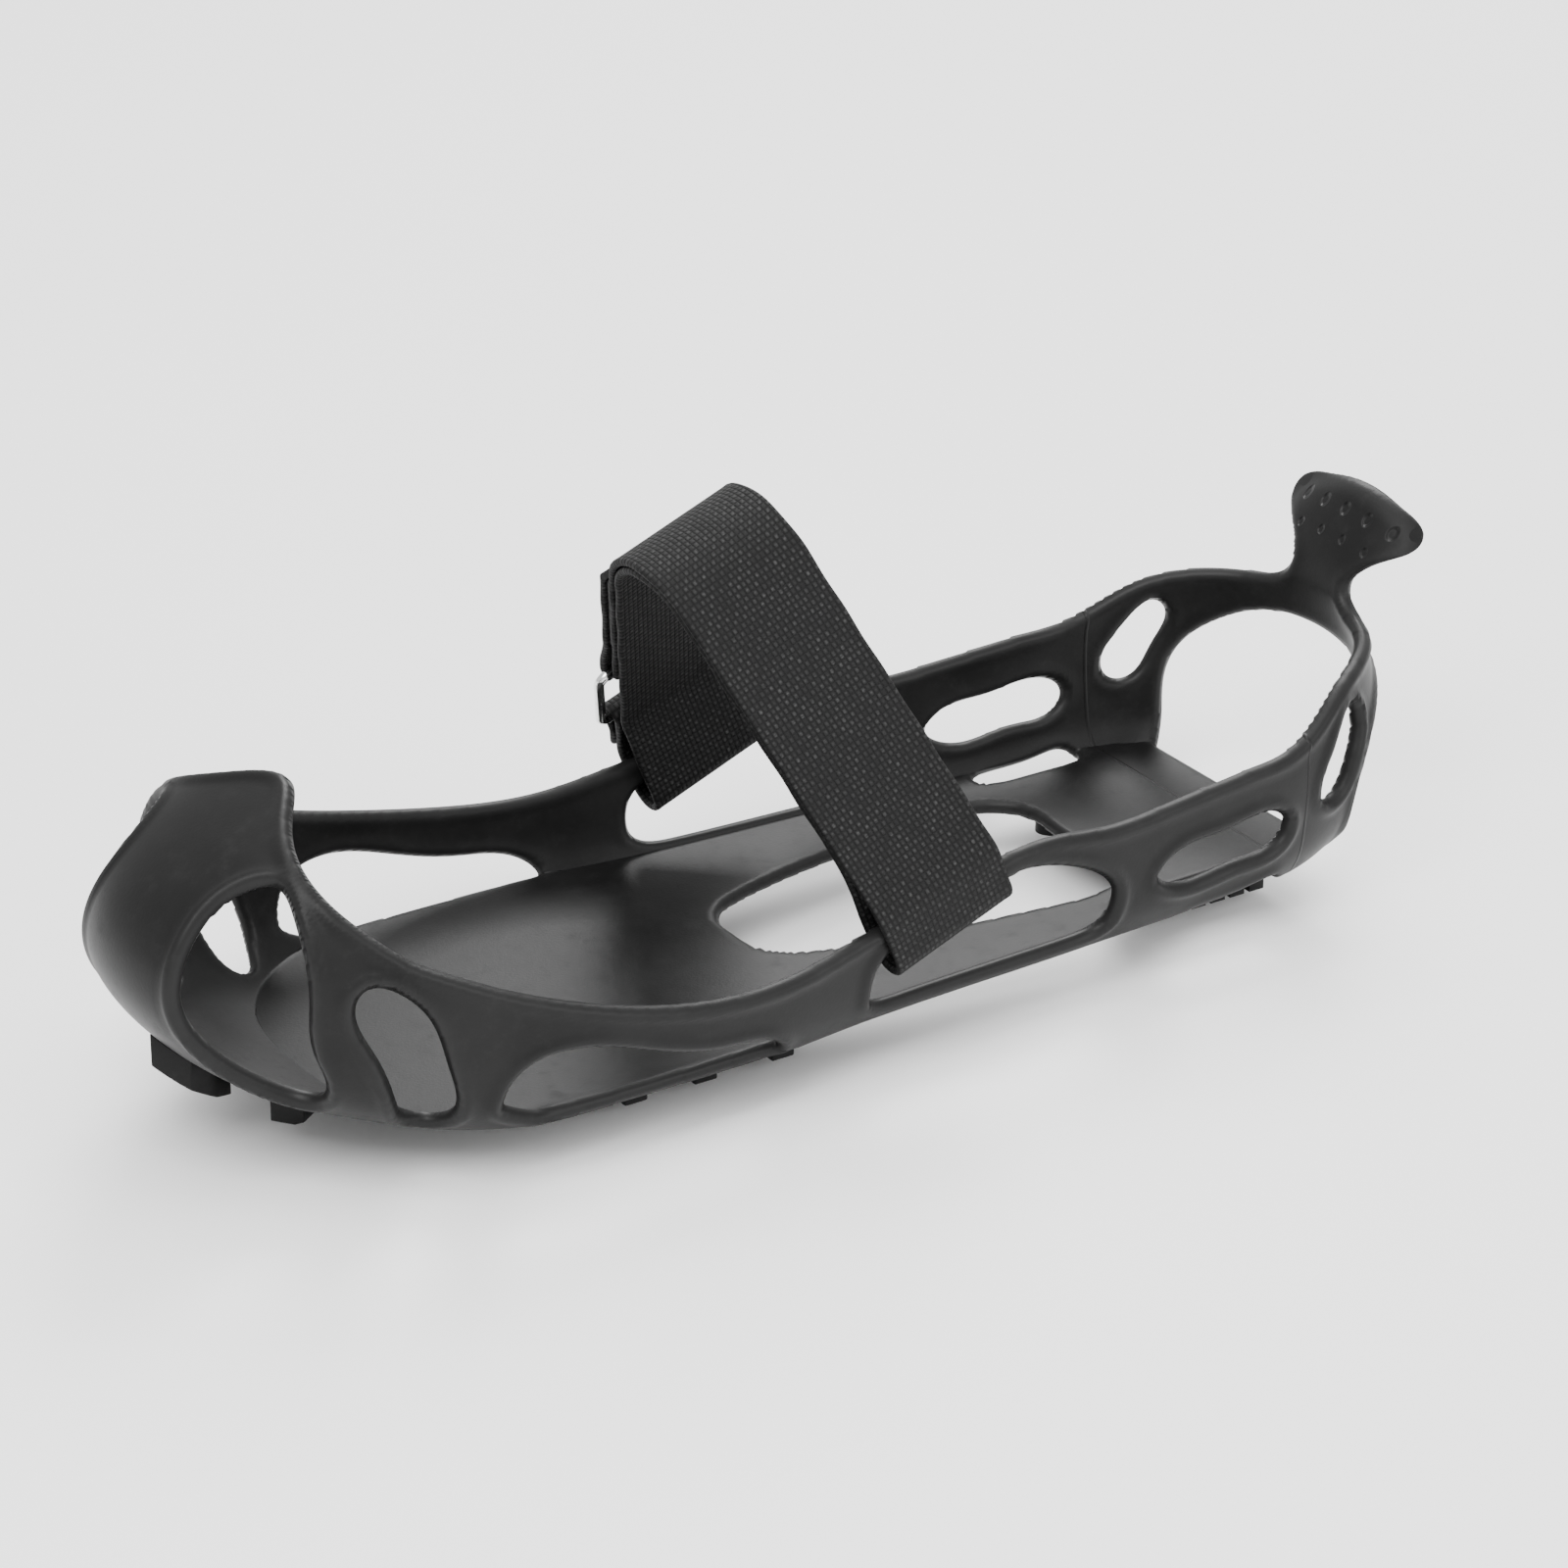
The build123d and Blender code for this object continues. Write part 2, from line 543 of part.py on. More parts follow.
def strap_webbing():
    """Webbing from its sewn end, round both side rails, to where it turns back at the ring."""
    turn = WEBBING / 2
    sewn_end = [on_flank(LOWER_BAR - 11, LAYER), on_flank(LOWER_BAR - 6, LAYER),
                on_flank(LOWER_BAR - 2.8, 2 * BAR_OUT),
                on_flank(LOWER_BAR + BAR_OUT, 2 * BAR_OUT), on_flank(LOWER_BAR + BAR_OUT, 0)]
    sewn_radii = [3, 1.6, BAR_OUT * 0.9, BAR_OUT * 0.9]
    inner_join = INNER_APEX - TURN_IN / tan(FLANK_ANGLE)
    near = [(-TURN_OUT, RAIL_CLEAR), (-TURN_OUT, turn), (-TURN_IN, turn), (-TURN_IN, inner_join)]
    near_radii = [10, LOOP_RADIUS * 0.95, LOOP_RADIUS * 0.95, 10]
    far = [(0, INNER_APEX), (TURN_IN, inner_join), (TURN_IN, turn), (TURN_OUT, turn),
           (TURN_OUT, RAIL_CLEAR)]
    far_radii = [CREST_RADIUS - LAYER, 10, LOOP_RADIUS * 0.95, LOOP_RADIUS * 0.95, 10]
    end = [(0, APEX), on_flank(UPPER_BAR + 1.5, 0)]
    end_radii = [CREST_RADIUS]
    route = sewn_end + near + far + end
    return webbing(route, sewn_radii + near_radii + far_radii + end_radii)


TAIL_OUT = WEBBING + LAYER_GAP + HOOK_TAPE


def strap_tail():
    """Free end of the strap: turned round the ring's upper bar and laid back up the flank."""
    start = UPPER_BAR - BAR_OUT
    route = [on_flank(start, BAR_OUT), on_flank(start, 2 * BAR_OUT), on_flank(UPPER_BAR + 3, 2 * BAR_OUT),
             on_flank(UPPER_BAR + 11, TAIL_OUT), on_flank(UPPER_BAR + TAIL_LENGTH, TAIL_OUT)]
    return webbing(route, [BAR_OUT * 0.9, 8, 8])


def hook_tape():
    """Hook patch on the inside of the tail, which grips the layer under it."""
    out = (WEBBING + HOOK_TAPE) / 2 + LAYER_GAP
    route = Line(on_flank(UPPER_BAR + 12, out), on_flank(UPPER_BAR + TAIL_LENGTH - 1, out))
    section = trace(route, HOOK_TAPE)
    return extrude(STRAP_PLANE * section, amount=STRAP_WIDTH / 2 - 1, both=True)


def flank_plane(up, out):
    """Plane on the ring-side flank, its X across the strap and its Z out of the flank."""
    x, u = on_flank(up, out)
    origin = STRAP_PLANE.origin + STRAP_PLANE.x_dir * x + STRAP_PLANE.y_dir * u
    outward = STRAP_PLANE.y_dir * sin(FLANK_ANGLE) - STRAP_PLANE.x_dir * cos(FLANK_ANGLE)
    return Plane(origin=origin, x_dir=STRAP_PLANE.z_dir, z_dir=outward)


def keeper_ring():
    """Wire ring, held by the strap's sewn end, that the tail passes through."""
    width = STRAP_WIDTH + 2 * (RING_SIDE_CLEARANCE + WIRE_RADIUS)
    plane = flank_plane(LOWER_BAR + RING_LENGTH / 2, BAR_OUT)
    path = plane * RectangleRounded(width, RING_LENGTH, RING_CORNER).wire()
    start = path @ 0
    return sweep(Plane(origin=start, z_dir=path % 0) * Circle(WIRE_RADIUS), path=path)


def box_stitching():
    """Stitches, a box with a cross in it, that hold the sewn end round the ring."""
    plane = flank_plane(LOWER_BAR - 9.2, LAYER + WEBBING / 2)
    wide, high, thread = STRAP_WIDTH - 5, 3.2, 0.6
    rails = [Pos(0, sign * high / 2, 0) * Box(wide, thread, thread) for sign in (-1, 1)]
    posts = [Pos(sign * wide / 2, 0, 0) * Box(thread, high - thread, thread) for sign in (-1, 1)]
    slant = degrees(atan2(high - thread, wide - thread))
    cross = Rot(0, 0, slant) * Box(hypot(wide, high) - 3.4 * thread, thread, thread)
    other = mirror(cross, about=Plane.YZ)
    stitches = rails[0] + rails[1] + posts[0] + posts[1] + cross + other
    outer = Pos(0, 0, thread / 4) * Box(REACH, REACH, thread / 2)
    return plane * (stitches & outer)


# ---------------------------------------------------------------- assembly
def sides():
    """The two sides' names, and whether each is the wearer's left."""
    return (("left", True), ("right", False))


def make_parts():
    """Every piece of the cleat under its node name."""
    parts = {"toe_cap": toe_cap(), "forefoot_sole": forefoot_sole(), "heel_sole": heel_sole()}
    for side, left in sides():
        parts[f"side_band_{side}"] = side_band(left)
        parts[f"side_rail_{side}"] = side_rail(left)
        parts[f"arch_strip_{side}"] = arch_strip(left)
        parts[f"heel_wall_{side}"] = heel_wall(left)
        parts[f"rear_leg_{side}"] = rear_leg(left)
    plates = {name: tooth_plate(sign, rows, lengthwise) for name, sign, rows, lengthwise in plate_pairs()}
    parts["forefoot_tread_pad"] = forefoot_pad()
    parts["heel_tread_pad"] = heel_pad()
    for name, plate in plates.items():
        pad_name = "heel_tread_pad" if name.startswith("heel") else "forefoot_tread_pad"
        parts[pad_name] -= plate
    parts.update(plates)
    parts["forefoot_edge_lugs"] = forefoot_edge_lugs()
    parts["forefoot_centre_lugs"] = centre_lugs()
    parts["chevron_lugs"] = chevron_lugs()
    parts["heel_lugs"] = heel_lugs()
    parts["toe_lugs"] = toe_lugs()
    parts["pull_tab"] = pull_tab()
    parts["strap_webbing"] = strap_webbing()
    parts["strap_stitching"] = box_stitching()
    parts["keeper_ring"] = keeper_ring()
    parts["strap_tail"] = strap_tail()
    parts["hook_tape"] = hook_tape()
    return centred(parts)


def centred(parts):
    """The parts moved so that the origin lies under the middle of their whole length."""
    boxes = [shape.bounding_box() for shape in parts.values()]
    middle = (min(box.min.Y for box in boxes) + max(box.max.Y for box in boxes)) / 2
    return {name: Pos(0, -middle, 0) * shape for name, shape in parts.items()}


if __name__ == "__main__":
    os.makedirs("parts", exist_ok=True)
    for node, shape in make_parts().items():
        export_step(shape, f"parts/{node}.step")
        print(node, len(shape.solids()), round(shape.volume, 1))
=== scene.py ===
"""Looks of a stretch-on shoe ice cleat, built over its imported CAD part.

Metres, in the CAD part's own frame: toe towards -Y, heel towards +Y, +Z up.  The rubber harness
is one continuous moulded skin, trimmed from a shoe-shaped surface.  The strap and its tail are
woven bands that follow the same route as the CAD part.
"""
from __future__ import annotations

import logging
import math
from dataclasses import dataclass
from enum import Enum
from typing import Iterable, Sequence, Union

import bmesh
import bpy
import numpy as np
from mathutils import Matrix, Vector, kdtree

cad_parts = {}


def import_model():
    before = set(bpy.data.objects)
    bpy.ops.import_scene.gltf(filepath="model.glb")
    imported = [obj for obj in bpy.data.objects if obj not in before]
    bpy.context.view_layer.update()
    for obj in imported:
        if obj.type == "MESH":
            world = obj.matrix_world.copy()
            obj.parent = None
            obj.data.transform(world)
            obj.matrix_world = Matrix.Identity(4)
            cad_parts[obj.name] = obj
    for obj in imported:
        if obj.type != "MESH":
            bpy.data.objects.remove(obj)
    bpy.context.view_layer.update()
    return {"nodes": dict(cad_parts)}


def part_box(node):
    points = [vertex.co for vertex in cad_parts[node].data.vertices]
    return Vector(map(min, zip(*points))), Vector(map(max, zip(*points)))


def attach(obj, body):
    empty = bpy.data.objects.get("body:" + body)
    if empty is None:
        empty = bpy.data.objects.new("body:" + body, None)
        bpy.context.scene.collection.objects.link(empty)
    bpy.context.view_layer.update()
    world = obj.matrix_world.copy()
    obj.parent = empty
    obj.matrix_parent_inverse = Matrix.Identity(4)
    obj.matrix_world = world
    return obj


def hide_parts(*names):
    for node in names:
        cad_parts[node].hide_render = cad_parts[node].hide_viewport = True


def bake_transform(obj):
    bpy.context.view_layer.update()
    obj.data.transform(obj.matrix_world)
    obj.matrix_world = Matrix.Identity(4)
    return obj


LOG = logging.getLogger("ice_cleat")
MM = 0.001

Point2 = tuple[float, float]


# ------------------------------------------------------------------ curves and distances
class Curve:
    """A smooth curve through points, with continuous curvature.

    Args:
        points: The points, one per row.
        closed: Whether the last point joins the first.
    """

    def __init__(self, points: Sequence[Sequence[float]], closed: bool = False) -> None:
        self.points = np.asarray(points, float)
        self.closed = closed
        ahead = np.roll(self.points, -1, axis=0) if closed else self.points[1:]
        behind = self.points if closed else self.points[:-1]
        self.steps = np.linalg.norm(ahead - behind, axis=1)
        self.knots = np.concatenate([[0.0], np.cumsum(self.steps)])
        self.slopes = spline_slopes(self.points, self.steps, closed)

    def at(self, where: np.ndarray) -> np.ndarray:
        """Points of the curve.

        Args:
            where: Places along the curve, as chord length from its start.

        Returns:
            One point per place.
        """
        segment = np.clip(np.searchsorted(self.knots, where, side="right") - 1, 0, len(self.steps) - 1)
        step = self.steps[segment]
        share = (where - self.knots[segment]) / step
        after = (segment + 1) % len(self.points)
        return hermite(share, step, self.points[segment], self.points[after],
                       self.slopes[segment], self.slopes[after])

    def sample(self, spacing: float) -> np.ndarray:
        """Evenly spread points, a closed curve's last one not repeating its first."""
        count = max(8, int(self.knots[-1] / spacing))
        return self.at(np.linspace(0, self.knots[-1], count, endpoint=not self.closed))


def spline_slopes(values: np.ndarray, steps: np.ndarray, closed: bool) -> np.ndarray:
    """Slopes at the knots that make a cubic spline's curvature continuous.

    Args:
        values: One row per knot.
        steps: Distance between neighbouring knots.
        closed: Whether the spline is periodic.

    Returns:
        The slopes, shaped like the values.
    """
    count = len(values)
    system = np.zeros((count, count))
    right = np.zeros(values.shape)
    for i in range(count):
        if not closed and i in (0, count - 1):
            inner = 1 if i == 0 else count - 2
            low, high = min(i, inner), max(i, inner)
            system[i, i], system[i, inner] = 2, 1
            right[i] = 3 * (values[high] - values[low]) / steps[low]
            continue
        before, after = steps[i - 1], steps[i]
        nxt = (i + 1) % count
        system[i, i - 1] += after
        system[i, i] += 2 * (before + after)
        system[i, nxt] += before
        rise = after * (values[i] - values[i - 1]) / before + before * (values[nxt] - values[i]) / after
        right[i] = 3 * rise
    flat = np.linalg.solve(system, right.reshape(count, -1))
    return flat.reshape(values.shape)


def hermite(share, step, start, end, start_slope, end_slope) -> np.ndarray:
    """Cubic between two knots, for arrays of any matching shape."""
    extra = (1,) * (np.ndim(start) - np.ndim(share))
    t = np.reshape(share, np.shape(share) + extra)
    h = np.reshape(step, np.shape(step) + extra)
    return ((2 * t ** 3 - 3 * t ** 2 + 1) * start + (t ** 3 - 2 * t ** 2 + t) * h * start_slope
            + (-2 * t ** 3 + 3 * t ** 2) * end + (t ** 3 - t ** 2) * h * end_slope)


def inside_distance(x: np.ndarray, y: np.ndarray, outline: np.ndarray) -> np.ndarray:
    """Signed distance to a closed outline, positive inside it.

    Args:
        x: First coordinate of each point.
        y: Second coordinate of each point.
        outline: The outline's corners, one per row.

    Returns:
        The distances, shaped like x.
    """
    nearest = np.full(x.shape, np.inf)
    inside = np.zeros(x.shape, bool)
    for (ax, ay), (bx, by) in zip(outline, np.roll(outline, -1, axis=0)):
        dx, dy = bx - ax, by - ay
        length = dx * dx + dy * dy
        if length == 0:
            continue
        t = np.clip(((x - ax) * dx + (y - ay) * dy) / length, 0, 1)
        nearest = np.minimum(nearest, (x - ax - t * dx) ** 2 + (y - ay - t * dy) ** 2)
        crosses = (ay > y) != (by > y)
        if dy != 0:
            inside ^= crosses & (x < ax + (y - ay) * dx / dy)
    return np.where(inside, 1, -1) * np.sqrt(nearest)


def rounded(outline: Sequence[Point2], radius: float) -> np.ndarray:
    """A closed outline with its corners rounded."""
    points = np.asarray(outline, float)
    result = []
    for i, corner in enumerate(points):
        before = points[i - 1] - corner
        after = points[(i + 1) % len(points)] - corner
        reach_in, reach_out = np.linalg.norm(before), np.linalg.norm(after)
        cut = min(radius, 0.45 * reach_in, 0.45 * reach_out)
        start, end = corner + before / reach_in * cut, corner + after / reach_out * cut
        for t in np.linspace(0, 1, 7):
            result.append((1 - t) ** 2 * start + 2 * t * (1 - t) * corner + t * t * end)
    return np.array(result)


# ------------------------------------------------------------------ the shoe form
@dataclass(frozen=True)
class Level:
    """One level of the shoe form: its height, width share and setbacks at the toe and the heel."""

    height: float
    width: float
    toe: float
    heel: float


@dataclass(frozen=True)
class FormSizes:
    """Driving sizes of the shoe form, in millimetres."""

    half_length: float = 150.0
    half_width: float = 54.5
    base: float = 11.0
    waist: float = 0.53
    spacing: float = 1.15
    top: float = 71.0
    outline: tuple[Point2, ...] = (
        (0.0, -1.0), (0.46, -0.955), (0.752, -0.807), (0.927, -0.60), (1.0, -0.347), (0.905, -0.053),
        (0.853, 0.253), (0.807, 0.533), (0.706, 0.807), (0.42, 0.96), (0.0, 1.0))
    levels: tuple[Level, ...] = (
        Level(0, 0.90, 36, 14), Level(5, 0.955, 24, 7), Level(13, 0.99, 11, 3), Level(23, 1.005, 2, 1),
        Level(35, 0.99, -1.5, 4), Level(49, 0.91, 6, 6), Level(61, 0.77, 25.5, 8), Level(73, 0.50, 62, 10))

    def y(self, share: float) -> float:
        """Distance along the shoe for a share of its half length."""
        return share * self.half_length

    def x(self, share: float) -> float:
        """Distance across the shoe for a share of its half width."""
        return share * self.half_width


class ShoeForm:
    """The shoe-shaped surface that the harness is moulded round, as a grid of points."""

    CORNER_ROWS = 3
    FINE_ROWS = 400
    LEVEL_SLACK = 0.01
    CORNER_PASSES = 5

    def __init__(self, sizes: FormSizes) -> None:
        self.sizes = sizes
        self.grid = self._build()
        self.normals = self._normals()

    def _outline(self, level: Level) -> np.ndarray:
        """Corners of one level's outline, all the way round from the toe."""
        s = self.sizes
        half = []
        for share_x, share_y in s.outline:
            y = s.y(share_y)
            waist = s.waist * s.half_length
            beyond = abs(y) - waist
            if beyond > 0:
                setback = level.toe if y < 0 else level.heel
                stretch = (s.half_length - waist - setback) / (s.half_length - waist)
                y = math.copysign(waist + beyond * stretch, y)
            half.append((s.x(share_x) * level.width, y))
        return np.array(half + [(-x, y) for x, y in reversed(half[1:-1])])

    def _build(self) -> np.ndarray:
        """Grid of points: rows from the middle of the sole out and up, columns round the shoe."""
        s = self.sizes
        widest = Curve(self._outline(s.levels[3]), closed=True)
        count = 2 * (int(widest.knots[-1] / s.spacing) // 2)
        places = np.linspace(0, widest.knots[-1], count, endpoint=False)
        rings = []
        for level in s.levels:
            curve = Curve(self._outline(level), closed=True)
            shares = np.interp(places, widest.knots, np.arange(len(widest.knots)))
            where = np.interp(shares, np.arange(len(curve.knots)), curve.knots)
            ring = curve.at(where)
            rings.append(np.column_stack([ring, np.full(count, s.base + level.height)]))
        rings = np.array(rings)
        heights = np.array([level.height for level in s.levels])
        slopes = spline_slopes(rings, np.diff(heights), closed=False)

        def wall_at(up: np.ndarray) -> np.ndarray:
            """Rows of the wall at some heights above the sole."""
            segment = np.clip(np.searchsorted(heights, up, side="right") - 1, 0, len(heights) - 2)
            step = np.diff(heights)[segment]
            share = (up - heights[segment]) / step
            return hermite(share, step, rings[segment], rings[segment + 1],
                           slopes[segment], slopes[segment + 1])

        fine = np.linspace(0, s.top, self.FINE_ROWS)
        strides = np.linalg.norm(np.diff(wall_at(fine), axis=0), axis=2).max(axis=1)
        travelled = np.concatenate([[0], np.cumsum(strides)])
        wall = wall_at(np.interp(np.arange(0, travelled[-1], s.spacing), travelled, fine))
        shares = np.linspace(0, 1, int(s.x(s.levels[0].width) / s.spacing))[:-1]
        sole = np.repeat(rings[0][None], len(shares), axis=0)
        sole[:, :, 0] *= shares[:, None]
        grid = np.concatenate([sole, wall])
        corner = len(shares)
        rows = slice(corner - self.CORNER_ROWS, corner + self.CORNER_ROWS + 1)
        before = slice(rows.start - 1, rows.stop - 1)
        after = slice(rows.start + 1, rows.stop + 1)
        for _ in range(self.CORNER_PASSES):
            grid[rows] = (grid[before] + 2 * grid[rows] + grid[after]) / 4
        return grid

    def _normals(self) -> np.ndarray:
        """Outward unit normals of the grid's points."""
        grid = self.grid
        across = np.roll(grid, -1, axis=1) - np.roll(grid, 1, axis=1)
        up = np.gradient(grid, axis=0)
        normal = np.cross(across, up)
        length = np.linalg.norm(normal, axis=2, keepdims=True)
        flat = np.array([0.0, 0.0, -1.0])
        normal = np.where(length > 1e-9, normal / np.maximum(length, 1e-9), flat)
        level = grid[:, :, 2] < self.sizes.base + self.LEVEL_SLACK
        normal[level] = flat
        return normal


# ------------------------------------------------------------------ what is cut from it
class HarnessPattern:
    """The harness's outline and openings, as signed distances on the shoe form.

    Args:
        sizes: Sizes of the shoe form.
    """

    HEEL_CORNER = math.radians(40)
    FAR = 99.0
    RIM_HEIGHT, RIM_BLEND, TOE_END = 49, 4, -60
    LEG_FRONT, TAB_FRONT, SIDE = 85, 110, 24
    SOLE_REAR, SOLE_FRONT, SOLE_TOP, SOLE_HEIGHT = 121, 60, 18, 24
    SHEET_DEPTH, OUTER_SHEET = 6, 47
    SLOT_REACH = 10

    def __init__(self, sizes: FormSizes) -> None:
        self.sizes = sizes

    def _points(self, *shares: tuple[float, float]) -> list[Point2]:
        """Side-view points from shares of the half length and heights."""
        return [(self.sizes.y(share), height) for share, height in shares]

    def _round_corner(self, share_x: float, share_y: float) -> float:
        """Distance round the heel corner for a place given as shares of the half sizes."""
        turn = self.HEEL_CORNER
        return -self.sizes.x(share_x) * math.sin(turn) + self.sizes.y(share_y) * math.cos(turn)

    def walls(self) -> np.ndarray:
        """Side view of everything from the toe to the heel corner."""
        s = self.sizes
        rim = self._points(
            (-0.715, 80), (-0.757, 75.2), (-0.797, 72.2), (-0.817, 68.4), (-0.806, 62.5), (-0.74, 54.4),
            (-0.633, 46), (-0.467, 37), (-0.30, 31.5), (-0.17, 30.8), (-0.055, 33.8))
        rail = [(-3.5, 34.6), (10, 37.2), (33, 42.0), (42.75, 41.6), (52, 40.2), (70.5, 40.7),
                (90, 42.2), (112, 43.2)]
        top = Curve(rim + rail).sample(1.5)
        low = [(112, -10), (-s.half_length - 20, -10), (-s.half_length - 20, 80)]
        return np.vstack([top, low])

    @staticmethod
    def toe_rim() -> np.ndarray:
        """Everything in front of the rim over the toes, seen from above."""
        half = [(4.5, -113.0), (10, -116.4), (16.5, -120.2), (24.5, -122.3), (31.0, -121.4), (35.6, -118.8),
                (39.4, -115.0), (43.4, -109.4), (47.0, -101.5), (50.2, -90), (54, -70)]
        back = [(-x, y) for x, y in reversed(half)]
        rim = Curve(back + [(0, -111.8)] + half).sample(1.5)
        return np.vstack([rim, [(90, -70), (90, -190), (-90, -190), (-90, -70)]])

    def leg(self) -> np.ndarray:
        """Rear leg, seen square on to the heel corner."""
        rc = self._round_corner
        upper = Curve([(rc(0.80, 0.60), 42.6), (rc(0.77, 0.68), 43.2), (rc(0.745, 0.735), 46.2),
                       (rc(0.66, 0.787), 51.3), (rc(0.50, 0.86), 54.6), (rc(0.30, 0.93), 55.6),
                       (rc(0.19, 0.955), 58), (rc(0.165, 0.955), 61)]).sample(1.0)
        end = rc(-0.3, 0.97)
        lower = Curve([(end, 48), (rc(0.15, 0.955), 47.5), (rc(0.37, 0.92), 44.5), (rc(0.50, 0.90), 41),
                       (rc(0.62, 0.87), 35), (rc(0.63, 0.845), 27), (rc(0.58, 0.83), 17),
                       (rc(0.50, 0.80), 10)]).sample(1.0)
        return np.vstack([upper, [(end, 61)], lower, [(rc(0.80, 0.60), 2)]])

    def tab(self) -> np.ndarray:
        """Pull tab, seen from behind: half of it and its mirror image."""
        side = Curve([(8.3, 50), (8.3, 56), (9.4, 61), (13.5, 66), (19.0, 69.2), (22.6, 71.3)]).sample(1)
        top = Curve([(22.6, 71.3), (21.4, 74.3), (14, 77.4), (6, 78.9), (0, 79.3)]).sample(1)
        half = np.vstack([side, top[1:]])
        return np.vstack([half, half[::-1] * (-1, 1)])

    def openings(self) -> dict[str, np.ndarray]:
        """Outline of every opening, in the view that it is cut in."""
        p, rc = self._points, self._round_corner
        return {
            "toe": Curve([(18.8, 64.6), (22.5, 67), (28.5, 64), (34, 57), (37.3, 48), (37.3, 36),
                          (34, 23.5), (28.5, 20.5), (22.5, 28), (19.5, 40), (18.8, 51), (18, 59.5)],
                         closed=True).sample(1.5),
            "small_side": Curve(p((-0.806, 45.5), (-0.792, 49.3), (-0.755, 48), (-0.713, 41), (-0.692, 30),
                                  (-0.676, 18), (-0.688, 13.8), (-0.714, 14.2), (-0.750, 22), (-0.784, 35)),
                                closed=True).sample(1.5),
            "long_side": Curve(p((-0.615, 20), (-0.598, 26.5), (-0.547, 29.3), (-0.42, 25), (-0.30, 20),
                                 (-0.215, 17), (-0.19, 12), (-0.215, 6), (-0.40, 4), (-0.58, 6),
                                 (-0.612, 12)), closed=True).sample(1.5),
            "under_rail": rounded([(-7.6, 14.4), (-6.2, 28.0), (10, 31.9), (32, 37.0), (43, 34.2),
                                   (52.5, 29.6), (56.6, 25), (54.5, 14.4)], 6.5),
            "heel_slot": Curve(p((0.447, 25), (0.475, 28.6), (0.56, 29.8), (0.655, 31), (0.69, 27.5),
                                 (0.68, 23), (0.60, 21.3), (0.48, 20.8)), closed=True).sample(1.0),
            "leg_slit": Curve([(rc(0.76, 0.757), 32), (rc(0.735, 0.765), 27.5), (rc(0.70, 0.80), 27.5),
                               (rc(0.68, 0.83), 35), (rc(0.64, 0.85), 45), (rc(0.66, 0.835), 47.5),
                               (rc(0.72, 0.79), 41)], closed=True).sample(1.0),
        }

    def arch(self) -> np.ndarray:
        """Opening under the arch, seen from below."""
        s = self.sizes
        half = [(s.x(x), s.y(y)) for x, y in
                ((0.17, -0.052), (0.30, 0.03), (0.39, 0.18), (0.45, 0.35), (0.46, 0.44), (0.38, 0.50))]
        ends = [(0, s.y(-0.06))], [(0, s.y(0.507))]
        other = [(-x, y) for x, y in reversed(half)]
        return Curve(ends[0] + half + ends[1] + other, closed=True).sample(1.5)

    def distance(self, points: np.ndarray) -> np.ndarray:
        """Signed distance to the harness's edge for every point, positive in the rubber."""
        s = self.sizes
        x, y, z = np.abs(points[..., 0]), points[..., 1], points[..., 2]
        around = -x * math.sin(self.HEEL_CORNER) + y * math.cos(self.HEEL_CORNER)
        high = np.clip((z - self.RIM_HEIGHT) / self.RIM_BLEND, 0, 1) * (y < self.TOE_END)
        plan = inside_distance(points[..., 0], y, self.toe_rim())
        wall = (1 - high) * inside_distance(y, z, self.walls()) + high * plan
        leg = np.where(y > self.LEG_FRONT, inside_distance(around, z, self.leg()), -self.FAR)
        tab = np.where(y > self.TAB_FRONT, inside_distance(points[..., 0], z, self.tab()), -self.FAR)
        sole = np.minimum(self.SOLE_REAR - y, self.SOLE_TOP - z)
        sole = np.where((z < self.SOLE_HEIGHT) & (y > self.SOLE_FRONT), sole, -self.FAR)
        rubber = np.maximum.reduce([wall, leg, tab, sole])
        cuts = self.openings()
        side = x > self.SIDE
        rubber = np.minimum(rubber, np.where(y < s.y(-0.72), -inside_distance(x, z, cuts["toe"]), self.FAR))
        for name in ("small_side", "under_rail", "heel_slot"):
            rubber = np.minimum(rubber, np.where(side, -inside_distance(y, z, cuts[name]), self.FAR))
        slit = -inside_distance(around, z, cuts["leg_slit"])
        rubber = np.minimum(rubber, np.where((y > self.LEG_FRONT) & side, slit, self.FAR))
        long_side = np.maximum(-inside_distance(y, z, cuts["long_side"]), self.OUTER_SHEET - x)
        rubber = np.minimum(rubber, long_side)
        low = z < s.base + self.SHEET_DEPTH
        arch = -inside_distance(points[..., 0], y, self.arch())
        rubber = np.minimum(rubber, np.where(low, arch, self.FAR))
        beyond = np.maximum(np.abs(y - s.y(0.60)) - self.SLOT_REACH, 0)
        edge_slot = np.hypot(beyond, x - s.x(0.65)) - s.x(0.075)
        return np.minimum(rubber, np.where(low, edge_slot, self.FAR))


# ------------------------------------------------------------------ trimming a grid
@dataclass
class Trimmed:
    """A trimmed grid: its points, normals and faces, and which points lie on the cut edge."""

    points: np.ndarray
    normals: np.ndarray
    faces: list[tuple[int, ...]]
    on_edge: np.ndarray


